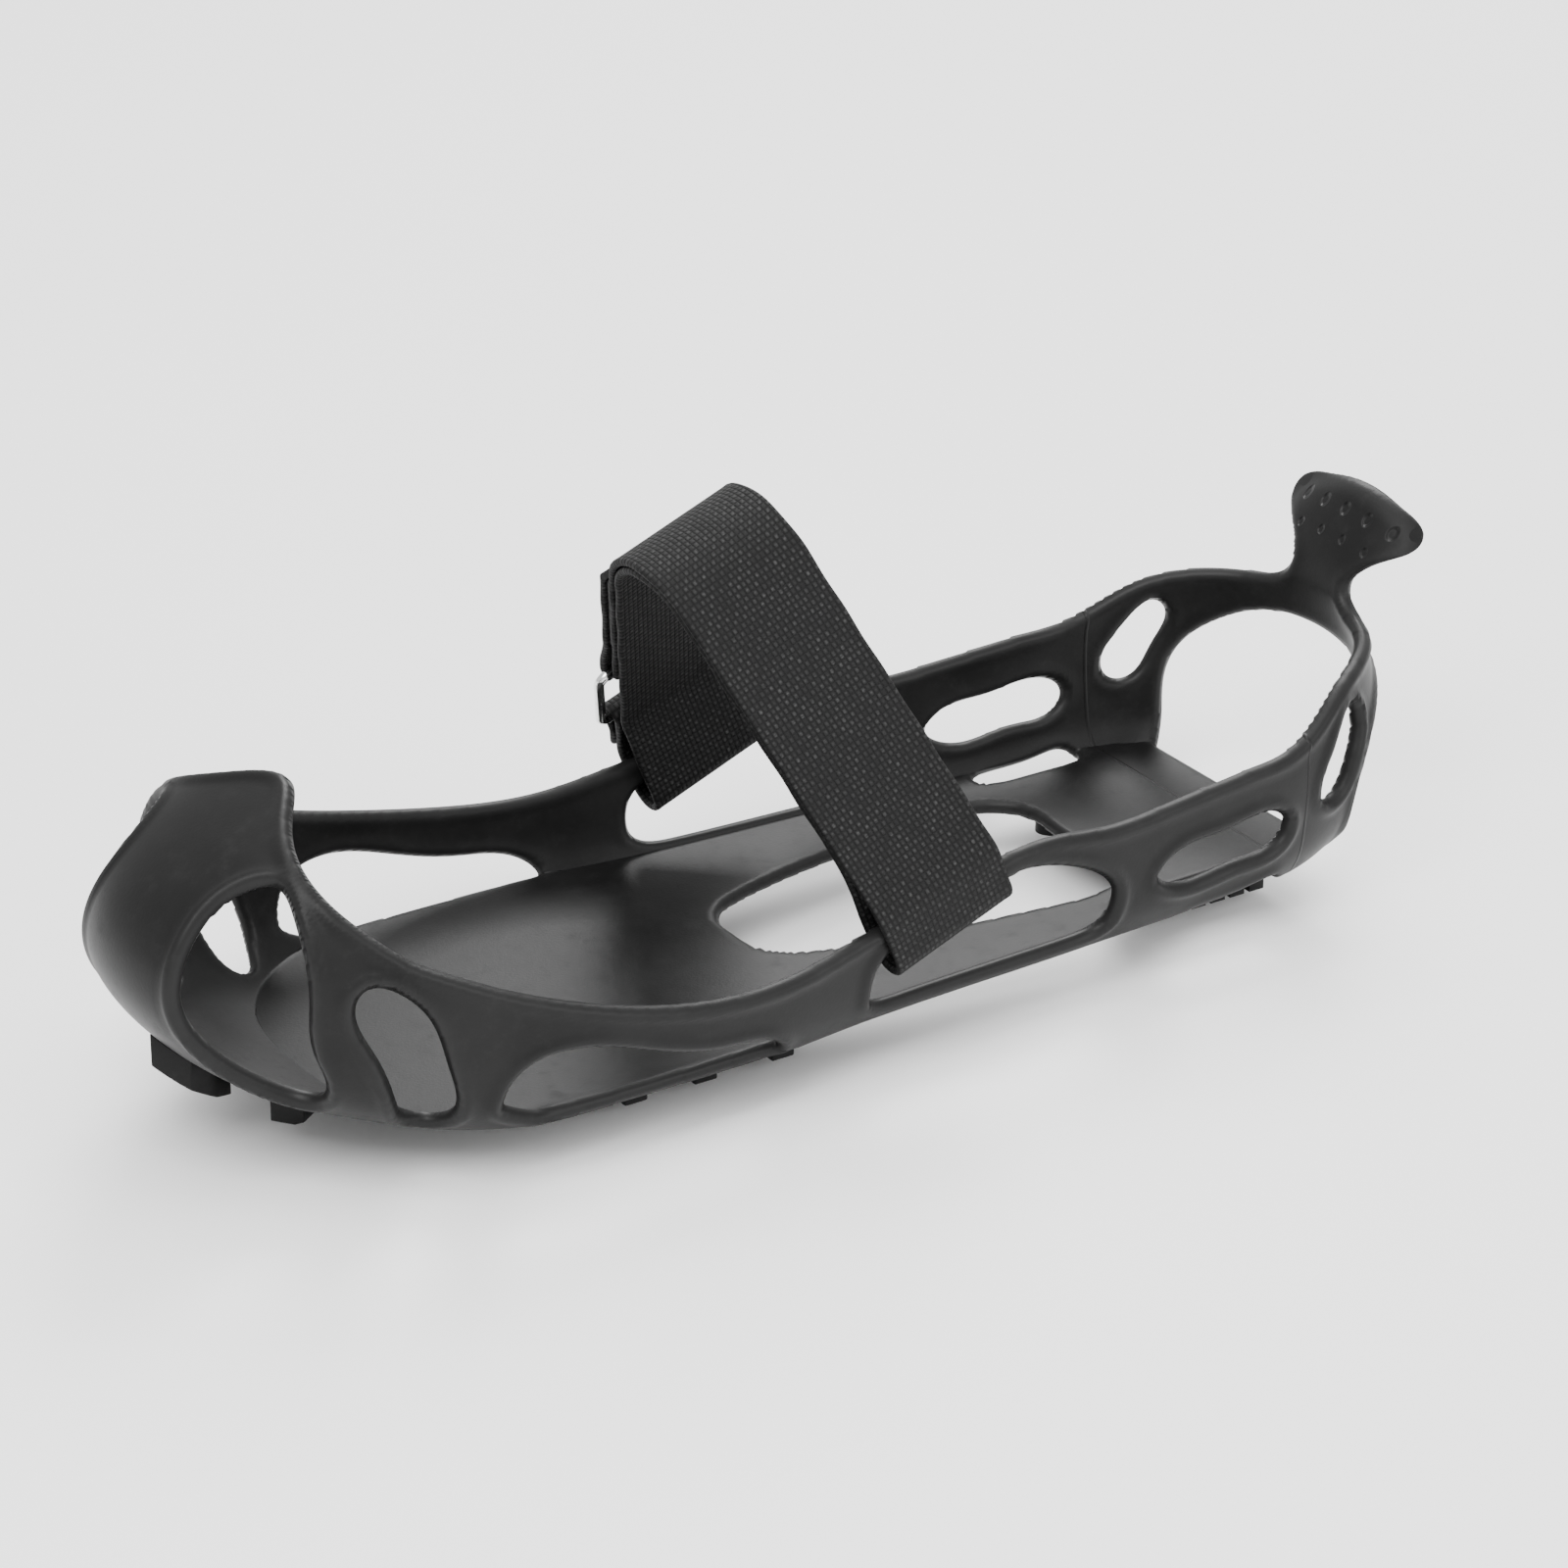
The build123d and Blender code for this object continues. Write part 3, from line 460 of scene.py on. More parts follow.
class GridTrimmer:
    """Cuts a periodic grid of points along the zero line of a signed distance.

    Args:
        points: Grid of points, rows by columns by three.
        normals: Grid of unit normals.
        keep: Signed distance at every grid point, positive where the grid is kept.
    """

    SNAP = 0.45

    def __init__(self, points: np.ndarray, normals: np.ndarray, keep: np.ndarray) -> None:
        self.points = points.copy()
        self.normals = normals.copy()
        self.keep = keep.copy()

    def _snap(self) -> None:
        """Moves grid points that lie close to the cut on to it."""
        best = np.full(self.keep.shape, self.SNAP)
        moved = self.points.copy()
        turned = self.normals.copy()
        for axis in (0, 1):
            for towards in (1, -1):
                other = np.roll(self.keep, -towards, axis=axis)
                crosses = (self.keep * other) < 0
                if axis == 0:
                    crosses[-1 if towards == 1 else 0] = False
                share = np.where(crosses, self.keep / np.where(crosses, self.keep - other, 1), 1)
                closer = crosses & (share < best)
                best[closer] = share[closer]
                t = share[closer][:, None]
                moved[closer] = ((1 - t) * self.points[closer]
                                 + t * np.roll(self.points, -towards, axis)[closer])
                turned[closer] = ((1 - t) * self.normals[closer]
                                  + t * np.roll(self.normals, -towards, axis)[closer])
        snapped = best < self.SNAP
        self.points, self.normals = moved, turned
        self.keep[snapped] = 0

    def trim(self) -> Trimmed:
        """The kept part of the grid, with a clean edge."""
        self._snap()
        rows, columns = self.keep.shape
        index = np.arange(rows * columns).reshape(rows, columns)
        right = np.roll(index, -1, axis=1)
        quads = np.stack([index[:-1], right[:-1], right[1:], index[1:]], axis=-1).reshape(-1, 4)
        keep = self.keep.reshape(-1)
        values = keep[quads]
        whole = (values >= 0).all(axis=1) & (values > 0).any(axis=1)
        mixed = (values > 0).any(axis=1) & (values < 0).any(axis=1)
        points = [*self.points.reshape(-1, 3)]
        normals = [*self.normals.reshape(-1, 3)]
        faces = [tuple(quad) for quad in quads[whole]]
        edge = set(np.nonzero(keep == 0)[0].tolist())
        made: dict[tuple[int, int], int] = {}
        for quad in quads[mixed]:
            face = []
            for a, b in zip(quad, np.roll(quad, -1)):
                if keep[a] >= 0:
                    face.append(int(a))
                if keep[a] * keep[b] < 0:
                    key = (min(a, b), max(a, b))
                    if key not in made:
                        t = keep[a] / (keep[a] - keep[b])
                        made[key] = len(points)
                        points.append((1 - t) * points[a] + t * points[b])
                        normals.append((1 - t) * normals[a] + t * normals[b])
                        edge.add(made[key])
                    face.append(made[key])
            if len(face) > 2:
                faces.append(tuple(face))
        used = sorted({i for face in faces for i in face})
        place = {old: new for new, old in enumerate(used)}
        normals = np.array(normals)[used]
        normals /= np.linalg.norm(normals, axis=1, keepdims=True)
        return Trimmed(np.array(points)[used], normals, [tuple(place[i] for i in face) for face in faces],
                       np.array([i in edge for i in used]))


def once_used(faces: Iterable[Sequence[int]]) -> tuple[np.ndarray, np.ndarray]:
    """Edges of a mesh: all of them, and which ones belong to one face only."""
    counts: dict[tuple[int, int], int] = {}
    for face in faces:
        for a, b in zip(face, face[1:] + face[:1]):
            key = (min(a, b), max(a, b))
            counts[key] = counts.get(key, 0) + 1
    return np.array(list(counts)), np.array(list(counts.values())) == 1


def relax(skin: Trimmed, floor: float, passes: int = 10, reach: int = 4) -> np.ndarray:
    """Evens out a trimmed grid next to its cut edge.

    Args:
        skin: The trimmed grid, changed in place.
        floor: Height under which points on the middle line stay where they are.
        passes: How often each point moves towards the middle of its neighbours.
        reach: How many rows from the edge move.

    Returns:
        The cut edge's segments, as pairs of point numbers.
    """
    edges, single = once_used(skin.faces)
    rim = edges[single & skin.on_edge[edges].all(axis=1)]
    near = skin.on_edge.copy()
    for _ in range(reach):
        touched = edges[near[edges].any(axis=1)]
        near[touched.ravel()] = True
    near &= ~((np.abs(skin.points[:, 0]) < 1e-6) & (skin.points[:, 2] < floor))
    inner = edges[~skin.on_edge[edges].all(axis=1)]
    values = np.hstack([skin.points, skin.normals])
    for _ in range(passes):
        total, count = np.zeros(values.shape), np.zeros(len(values))
        for links, receives in ((rim, skin.on_edge), (inner, ~skin.on_edge)):
            for end, other in ((0, 1), (1, 0)):
                taker = links[receives[links[:, end]]]
                np.add.at(total, taker[:, end], values[taker[:, other]])
                np.add.at(count, taker[:, end], 1)
        moves = near & (count > 1)
        values[moves] = (values[moves] + total[moves] / count[moves, None]) / 2
    skin.points = values[:, :3]
    skin.normals = values[:, 3:] / np.linalg.norm(values[:, 3:], axis=1, keepdims=True)
    return rim


# ------------------------------------------------------------------ meshes
def new_mesh(name: str, points: np.ndarray, faces: Iterable[Sequence[int]]) -> bpy.types.Object:
    """A smooth-shaded mesh object from points in metres.

    Args:
        name: The piece's name.
        points: One point per row.
        faces: Corner indices of every face.

    Returns:
        The linked object, with its origin at the frame's origin.
    """
    mesh = bpy.data.meshes.new(name)
    mesh.from_pydata(points.tolist(), [], [list(map(int, face)) for face in faces])
    mesh.validate()
    mesh.shade_smooth()
    piece = bpy.data.objects.new(name, mesh)
    bpy.context.scene.collection.objects.link(piece)
    return piece


def clean(piece: bpy.types.Object, distance: float) -> None:
    """Welds points closer than a distance and turns every face outwards."""
    work = bmesh.new()
    work.from_mesh(piece.data)
    bmesh.ops.remove_doubles(work, verts=work.verts, dist=distance)
    bmesh.ops.dissolve_degenerate(work, edges=work.edges, dist=distance / 4)
    bmesh.ops.recalc_face_normals(work, faces=work.faces)
    work.to_mesh(piece.data)
    work.free()
    piece.data.shade_smooth()


def store(piece: bpy.types.Object, name: str, values: np.ndarray) -> None:
    """Keeps a number or a vector on every point, for materials to read."""
    vector = values.ndim == 2
    kind, field_name = ("FLOAT_VECTOR", "vector") if vector else ("FLOAT", "value")
    layer = piece.data.attributes.new(name, kind, "POINT")
    layer.data.foreach_set(field_name, np.ascontiguousarray(values, dtype=np.float32).ravel())


def vertices(piece: bpy.types.Object) -> np.ndarray:
    """The mesh's points, one per row, in metres."""
    flat = np.empty(3 * len(piece.data.vertices))
    piece.data.vertices.foreach_get("co", flat)
    return flat.reshape(-1, 3)


# ------------------------------------------------------------------ shader building
class Graph:
    """A material's node tree, with one method for each kind of step."""

    def __init__(self, name: str) -> None:
        self.material = bpy.data.materials.new(name)
        self.material.use_nodes = True
        self.tree = self.material.node_tree
        self.surface = self.tree.nodes["Principled BSDF"]

    def node(self, kind: str, output: Union[str, int] = 0, settings: dict | None = None,
             **inputs: object) -> "Socket":
        """Adds a node.

        Args:
            kind: The node's type name.
            output: Which of its outputs is wanted.
            settings: The node's own settings.
            inputs: Its inputs, a name's underscores standing for spaces.

        Returns:
            The wanted output.
        """
        made = self.tree.nodes.new(kind)
        for key, value in (settings or {}).items():
            setattr(made, key, value)
        for key, value in inputs.items():
            self.feed(made.inputs[key.replace("_", " ")], value)
        return Socket(self, made.outputs[output])

    def feed(self, target: bpy.types.NodeSocket, value: object) -> None:
        """Links a socket to an input, or sets the input to a constant."""
        if isinstance(value, Socket):
            self.tree.links.new(value.output, target)
        else:
            target.default_value = value

    def math(self, operation: str, *values: object) -> "Socket":
        """Adds a Math node."""
        made = self.tree.nodes.new("ShaderNodeMath")
        made.operation = operation
        for target, value in zip(made.inputs, values):
            self.feed(target, value)
        return Socket(self, made.outputs[0])

    def mix(self, share: object, first: object, second: object) -> "Socket":
        """Blends two colours."""
        made = self.tree.nodes.new("ShaderNodeMix")
        made.data_type = "RGBA"
        for target, value in ((0, share), (6, first), (7, second)):
            self.feed(made.inputs[target], value)
        return Socket(self, made.outputs[2])

    def stored(self, name: str) -> "Socket":
        """A vector kept on the piece's points."""
        return self.node("ShaderNodeAttribute", "Vector", {"attribute_name": name})

    def stored_number(self, name: str) -> "Socket":
        """A number kept on the piece's points."""
        return self.node("ShaderNodeAttribute", "Fac", {"attribute_name": name})

    def place(self) -> "Socket":
        """The object's own coordinates."""
        return self.node("ShaderNodeTexCoord", "Object")

    def parts(self, vector: "Socket") -> tuple["Socket", "Socket", "Socket"]:
        """A vector's three numbers."""
        made = self.tree.nodes.new("ShaderNodeSeparateXYZ")
        self.feed(made.inputs[0], vector)
        return tuple(Socket(self, made.outputs[i]) for i in range(3))

    def noise(self, where: "Socket", scale: float, detail: float = 3, roughness: float = 0.5) -> "Socket":
        """Soft noise from 0 to 1."""
        return self.node("ShaderNodeTexNoise", "Fac", Vector=where, Scale=scale, Detail=detail,
                         Roughness=roughness)

    def finish(self, bump: "Socket | None" = None, height: float = 0.0003, strength: float = 1.0,
               **inputs: object) -> bpy.types.Material:
        """Feeds the surface shader and returns the material."""
        if bump is not None:
            normal = self.node("ShaderNodeBump", "Normal", Height=bump, Distance=height, Strength=strength)
            self.feed(self.surface.inputs["Normal"], normal)
        for key, value in inputs.items():
            self.feed(self.surface.inputs[key.replace("_", " ")], value)
        return self.material


class Socket:
    """A node's output, with arithmetic that adds Math nodes."""

    def __init__(self, graph: Graph, output: bpy.types.NodeSocket) -> None:
        self.graph = graph
        self.output = output

    def __add__(self, other: object) -> "Socket":
        return self.graph.math("ADD", self, other)

    def __radd__(self, other: object) -> "Socket":
        return self.graph.math("ADD", other, self)

    def __sub__(self, other: object) -> "Socket":
        return self.graph.math("SUBTRACT", self, other)

    def __rsub__(self, other: object) -> "Socket":
        return self.graph.math("SUBTRACT", other, self)

    def __mul__(self, other: object) -> "Socket":
        return self.graph.math("MULTIPLY", self, other)

    def __rmul__(self, other: object) -> "Socket":
        return self.graph.math("MULTIPLY", other, self)

    def __truediv__(self, other: object) -> "Socket":
        return self.graph.math("DIVIDE", self, other)

    def __rtruediv__(self, other: object) -> "Socket":
        return self.graph.math("DIVIDE", other, self)

    def __pow__(self, other: object) -> "Socket":
        return self.graph.math("POWER", self, other)

    def __abs__(self) -> "Socket":
        return self.graph.math("ABSOLUTE", self)

    def sine(self) -> "Socket":
        """The sine of an angle in radians."""
        return self.graph.math("SINE", self)

    def step(self, low: float, high: float, start: float = 0.0, end: float = 1.0) -> "Socket":
        """Smooth step from start, at low, to end, at high."""
        made = self.graph.tree.nodes.new("ShaderNodeMapRange")
        made.interpolation_type = "SMOOTHSTEP"
        for target, value in zip(list(made.inputs)[:5], (self, low, high, start, end)):
            self.graph.feed(target, value)
        return Socket(self.graph, made.outputs[0])


def grey(value: float, warm: float = 0.0) -> tuple[float, float, float, float]:
    """A near-neutral colour."""
    return (value * (1 + warm), value, value * (1 - warm), 1.0)


# ------------------------------------------------------------------ finishes
class Finish(Enum):
    """The materials of the cleat, by the record's slot names."""

    RUBBER = "rubber"
    STEEL = "tooth_steel"
    WEBBING = "webbing"
    THREAD = "thread"
    RING = "ring_steel"
    HOOK = "hook_tape"


@dataclass
class Palette:
    """Makes each finish once and hands it out."""

    made: dict[str, bpy.types.Material]

    @classmethod
    def build(cls, shift: float) -> "Palette":
        """Every finish.

        Args:
            shift: Distance along the shoe between the form's middle and the frame's origin, in metres.
        """
        return cls({
            "skin": cls._skin(shift), Finish.RUBBER.value: cls._tread_rubber(),
            Finish.STEEL.value: cls._steel(), Finish.WEBBING.value: cls._webbing(),
            Finish.THREAD.value: cls._thread(), Finish.RING.value: cls._ring(),
            Finish.HOOK.value: cls._hook()})

    @staticmethod
    def _rubber(graph: Graph, where: Socket, extra: Socket | None, edge_wear_and_highlight: Socket | None) -> bpy.types.Material:
        """Satin moulded rubber with a fine grain, faint flow marks, dust, and greyer edges that are partly
        rubbed wear and partly painted highlight.
        """
        grain = graph.noise(where, 1500, 2, 0.6)
        marks = graph.noise(where, 38, 4, 0.55)
        dust = graph.noise(where, 210, 5, 0.7).step(0.50, 0.78)
        colour = graph.mix(marks.step(0.35, 0.7), grey(0.0055), grey(0.0090))
        colour = graph.mix(dust * 0.10, colour, grey(0.045))
        if edge_wear_and_highlight is not None:
            # Greyer towards the cut edges: partly rubbed wear, partly painted highlight on the rounded edges.
            colour = graph.mix(edge_wear_and_highlight * 0.25, colour, grey(0.026))
        roughness = 0.36 + marks * 0.10 + dust * 0.10
        height = grain * 0.10 + marks * 0.35
        if extra is not None:
            height = height + extra
        return graph.finish(height, 0.0004, 0.6, Base_Color=colour, Roughness=roughness,
                            Specular_IOR_Level=0.15)

    @classmethod
    def _skin(cls, shift: float) -> bpy.types.Material:
        """Harness rubber, with the tab's dimples and the mould's parting line."""
        graph = Graph("harness_rubber")
        rest = graph.stored("rest")
        x, y, z = graph.parts(rest)
        pitch, row = 7.3 * MM, 74.2 * MM
        across = graph.math("PINGPONG", x, pitch / 2)
        drop = z + x * x * 6.0 - row
        upper = graph.math("SQRT", across * across + drop * drop)
        between = pitch / 2 - across
        lower_drop = drop + 5.2 * MM
        lower = graph.math("SQRT", between * between + lower_drop * lower_drop)
        on_tab = y.step(130 * MM + shift, 131 * MM + shift) * abs(x).step(17.2 * MM, 16.9 * MM)
        dimples = (upper.step(0.7 * MM, 1.5 * MM) * lower.step(0.5 * MM, 1.1 * MM) - 1.0) * on_tab * 3.0
        line = abs(y - (108.3 * MM + shift)).step(0.5 * MM, 0.1 * MM) * 0.5
        # Distance from the cut edge drives greyer edges: partly rubbed wear, partly painted highlight.
        edge_wear_and_highlight = graph.stored_number("edge").step(3.5, 0.6)
        return cls._rubber(graph, rest, dimples + line, edge_wear_and_highlight)

    @classmethod
    def _tread_rubber(cls) -> bpy.types.Material:
        """Rubber of the pads and lugs."""
        graph = Graph("tread_rubber")
        return cls._rubber(graph, graph.place(), None, None)

    @staticmethod
    def _steel() -> bpy.types.Material:
        """Bright stamped steel with fine draw marks."""
        graph = Graph("tooth_steel")
        where = graph.place()
        x, y, z = graph.parts(where)
        marks = graph.noise(graph.node("ShaderNodeCombineXYZ", X=x * 3, Y=y * 3, Z=z * 0.4), 900, 3, 0.6)
        stains = graph.noise(where, 160, 4, 0.6)
        colour = graph.mix(stains.step(0.4, 0.75), grey(0.62), grey(0.50, 0.02))
        return graph.finish(marks, 0.00005, 0.5, Base_Color=colour, Metallic=1.0,
                            Roughness=0.20 + stains * 0.16)

    @staticmethod
    def _webbing() -> bpy.types.Material:
        """Woven webbing: rows of staggered yarns and plain selvedges, with painted shade between the yarns
        and painted grey highlights on their crowns.
        """
        graph = Graph("strap_webbing")
        along, across, _ = graph.parts(graph.stored("weave"))
        long_cell, wide_cell = 1.35 * MM, 1.15 * MM
        warp = (along * (math.pi / long_cell)).sine()
        weft = (across * (math.pi / wide_cell)).sine()
        product = warp * weft
        over = product.step(-0.25, 0.25)
        ridge = abs(product) ** 0.5
        fibres = graph.noise(graph.node("ShaderNodeCombineXYZ", X=along * 3200, Y=across * 700), 1, 2, 0.6)
        uneven = graph.noise(graph.stored("weave"), 260, 3, 0.6)
        height = ridge * (0.55 + over * 0.45) + fibres * 0.18
        # Painted highlight: grey glints on the yarn crowns.
        painted_glint = ridge.step(0.62, 0.97) * (0.45 + over * 0.55) * fibres.step(0.30, 0.75)
        # Painted shade: the colour is darker between the yarns and on the under cells.
        colour = graph.mix(ridge * (0.4 + over * 0.6), grey(0.0012), grey(0.0095))
        colour = graph.mix(painted_glint * uneven.step(0.30, 0.70) * 0.55, colour, grey(0.085))
        return graph.finish(height, 0.00042, 0.9, Base_Color=colour, Roughness=0.62 + fibres * 0.2,
                            Specular_IOR_Level=0.22)

    @staticmethod
    def _thread() -> bpy.types.Material:
        """Twisted sewing thread."""
        graph = Graph("strap_thread")
        where = graph.place()
        x, y, z = graph.parts(where)
        twist = ((x + y + z) * (2 * math.pi / (0.9 * MM))).sine()
        colour = graph.mix(twist.step(-1, 1), grey(0.02), grey(0.06))
        return graph.finish(twist, 0.0001, 0.8, Base_Color=colour, Roughness=0.6)

    @staticmethod
    def _ring() -> bpy.types.Material:
        """Polished plated wire with light scuffs."""
        graph = Graph("ring_steel")
        where = graph.place()
        scuffs = graph.noise(where, 420, 5, 0.7)
        colour = graph.mix(scuffs.step(0.5, 0.8), grey(0.80), grey(0.62))
        return graph.finish(scuffs, 0.00004, 0.5, Base_Color=colour, Metallic=1.0,
                            Roughness=0.10 + scuffs.step(0.45, 0.8) * 0.25)

    @staticmethod
    def _hook() -> bpy.types.Material:
        """Field of small hooks."""
        graph = Graph("hook_tape")
        hooks = graph.node("ShaderNodeTexVoronoi", "Distance", Vector=graph.place(), Scale=950.0)
        colour = graph.mix(hooks.step(0.1, 0.6), grey(0.045), grey(0.012))
        return graph.finish(hooks, 0.0005, 0.9, Base_Color=colour, Roughness=0.75)

    def dress(self, piece: bpy.types.Object, finish: Finish, look: str | None = None) -> None:
        """Gives a piece its material."""
        piece.data.materials.clear()
        piece.data.materials.append(self.made[look or finish.value])


# ------------------------------------------------------------------ the harness
@dataclass
class Harness:
    """The one-piece rubber harness with its pull tab."""

    palette: Palette
    shift: float
    sheet: float = 3.0
    edge_radius: float = 1.5
    bead_height: float = 0.75
    bead_place: float = 2.0
    bead_width: float = 1.25
    tab_foot: float = 57.0
    tab_top: float = 79.0
    tab_lean: float = 15.0
    tab_turn: float = 9.0
    tab_flatness: float = 1.25
    tab_half_width: float = 26.0
    neck_y: float = 144.0
    neck_z: float = 60.0

    ZONES = ("toe_cap", "forefoot_sole", "heel_sole", "pull_tab")
    PAIRED_ZONES = ("side_band", "side_rail", "arch_strip", "heel_wall", "rear_leg")

    def build(self) -> bpy.types.Object:
        """The harness as one mesh."""
        form = ShoeForm(FormSizes())
        keep = HarnessPattern(form.sizes).distance(form.grid)
        skin = GridTrimmer(form.grid, form.normals, keep).trim()
        rim = relax(skin, form.sizes.base + 1)
        middle = skin.points - skin.normals * self.sheet / 2
        inset = self._edge_distance(skin, rim)
        half = self.sheet / 2 * np.sqrt(1 - (1 - np.clip(inset / self.edge_radius, 0, 1)) ** 2)
        bead = self.bead_height * np.exp(-((inset - self.bead_place) / self.bead_width) ** 2)
        bead *= half / (self.sheet / 2)
        bead *= self._bead_share(skin.points)
        outer = middle + skin.normals * (half + bead)[:, None]
        inner = middle - skin.normals * (half + 0.25 * bead)[:, None]
        points = np.vstack([outer, inner])
        points[:, 1] += np.tile(self._tab_offset(skin.points), 2) + self.shift / MM
        count = len(outer)
        inside = [tuple(count + i for i in reversed(face)) for face in skin.faces]
        piece = new_mesh("rubber_harness", points * MM, skin.faces + inside)
        clean(piece, 0.02 * MM)
        self._store_edge(piece, np.tile(inset, 2), points)
        self.palette.dress(piece, Finish.RUBBER, "skin")
        paired = [f"{zone}_{side}" for zone in self.PAIRED_ZONES for side in ("left", "right")]
        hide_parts(*self.ZONES, *paired)
        neck = (141.5 + self.shift / MM) * MM
        neck + 1.5 * MM
        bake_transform(piece)
        return piece

    @staticmethod
    def _edge_distance(skin: Trimmed, rim: np.ndarray) -> np.ndarray:
        """Distance of every point from the cut edge, in millimetres."""
        a, b = skin.points[rim[:, 0]], skin.points[rim[:, 1]]
        samples = np.vstack([a + (b - a) * t for t in np.linspace(0, 1, 6)])
        tree = kdtree.KDTree(len(samples))
        for i, sample in enumerate(samples):
            tree.insert(sample, i)
        tree.balance()
        distance = np.array([tree.find(point)[2] for point in skin.points])
        distance[skin.on_edge] = 0
        return distance

    @staticmethod
    def _bead_share(points: np.ndarray) -> np.ndarray:
        """How proud the bead stands: full on the walls, slight under the sole."""
        return np.clip((points[:, 2] - 12) / 5, 0.15, 1)

    def _tab_offset(self, points: np.ndarray) -> np.ndarray:
        """How far each point moves back, so that the pull tab is nearly flat and leans away."""
        x, y, z = points.T
        flat = np.clip((z - self.tab_foot) / self.tab_turn, 0, 1)
        flat = self.tab_flatness * flat * flat * (3 - 2 * flat)
        behind = self.neck_y - (z - self.neck_z) / 6
        up = np.clip((z - self.tab_foot) / (self.tab_top - self.tab_foot), 0, None)
        on_tab = (y > HarnessPattern.TAB_FRONT) & (np.abs(x) < self.tab_half_width)
        return np.where(on_tab, flat * (behind - y) + self.tab_lean * up ** 1.6, 0)

    @staticmethod
    def _store_edge(piece: bpy.types.Object, inset: np.ndarray, placed: np.ndarray) -> None:
        """Keeps each point's rest place and its distance from the edge."""
        now = vertices(piece)
        tree = kdtree.KDTree(len(placed))
        for i, point in enumerate(placed * MM):
            tree.insert(point, i)
        tree.balance()
        nearest = [tree.find(point)[1] for point in now]
        store(piece, "edge", inset[nearest])
        store(piece, "rest", now)


# ------------------------------------------------------------------ the strap
@dataclass(frozen=True)
class StrapRoute:
    """Route of the cinch strap, drawn in the plane that it leans in, in millimetres."""

    width: float = 30.0
    webbing: float = 1.8
    gap: float = 0.3
    tilt: float = 21.5
    foot_y: float = 12.7
    foot_z: float = 27.3
    height: float = 86.2
    rail_height: float = 5.2
    side_clearance: float = 1.8
    foot_clearance: float = 3.4
    top_clearance: float = 4.5
    rail_half_width: float = 54.5 * 0.877
    sheet: float = 3.0
    crest_radius: float = 17.5
    wire: float = 1.1
    wire_clearance: float = 0.25
    lower_bar: float = 11.5
    ring_length: float = 17.8
    hook: float = 1.0
    tail_length: float = 38.0

    @property
    def loop(self) -> float:
        """Radius of the turn under a rail."""
        return (self.sheet + 2 * self.side_clearance + self.webbing) / 2

    @property
    def outer(self) -> float:
        """Half the distance between the outer layers at the rails."""
        return self.rail_half_width + self.side_clearance + self.webbing / 2

    @property
    def inner(self) -> float:
        """Half the distance between the inner layers at the rails."""
        return self.outer - 2 * self.loop

    @property
    def clear(self) -> float:
        """Height, along the lean, where the flanks start to close in."""
        return self.webbing + self.foot_clearance + self.rail_height + self.top_clearance

    @property
    def layer(self) -> float:
        """Pitch of two layers of webbing."""
        return self.webbing + self.gap

    @property
    def angle(self) -> float:
        """Lean of the straight flanks, in radians."""
        angle = math.radians(30)
        crest = self.height - self.webbing / 2
        for _ in range(50):
            apex = crest - self.crest_radius + self.crest_radius / math.sin(angle)
            angle = math.atan2(self.outer, apex - self.clear)
        return angle

    @property
    def bar_out(self) -> float:
        """Distance from the middle of the webbing to the middle of a ring bar."""
        return self.webbing / 2 + self.wire_clearance + self.wire

    @property
    def upper_bar(self) -> float:
        """Distance up the flank of the ring's upper bar."""
        return self.lower_bar + self.ring_length

    def flank(self, up: float, out: float) -> Point2:
        """A point beside the ring-side flank."""
        rise, run = math.cos(self.angle), math.sin(self.angle)
        return (-self.outer + up * run - out * rise, self.clear + up * rise + out * run)

    def loop_route(self) -> tuple[list[Point2], list[float]]:
        """Corners and corner radii of the main loop, from its sewn end to the ring."""
        turn, bar = self.webbing / 2, self.bar_out
        apex = self.clear + self.outer / math.tan(self.angle)
        inner_apex = apex - self.layer / math.sin(self.angle)
        join = inner_apex - self.inner / math.tan(self.angle)
        low = self.lower_bar
        points = [self.flank(low - 11, self.layer), self.flank(low - 6, self.layer),
                  self.flank(low - 2.8, 2 * bar), self.flank(low + bar, 2 * bar), self.flank(low + bar, 0),
                  (-self.outer, self.clear), (-self.outer, turn), (-self.inner, turn), (-self.inner, join),
                  (0, inner_apex), (self.inner, join), (self.inner, turn), (self.outer, turn),
                  (self.outer, self.clear), (0, apex), self.flank(self.upper_bar + 1.5, 0)]
        turn_radius = self.loop * 0.95
        radii = [3, 1.6, bar * 0.9, bar * 0.9, 10, turn_radius, turn_radius, 10,
                 self.crest_radius - self.layer, 10, turn_radius, turn_radius, 10, self.crest_radius]
        return points, radii

    def tail_route(self) -> tuple[list[Point2], list[float]]:
        """Corners and corner radii of the free end."""
        bar, up = self.bar_out, self.upper_bar
        start, out = up - bar, self.webbing + self.gap + self.hook
        points = [self.flank(start, bar), self.flank(start, 2 * bar), self.flank(up + 3, 2 * bar),
                  self.flank(up + 11, out), self.flank(up + self.tail_length, out)]
        return points, [bar * 0.9, 8, 8]


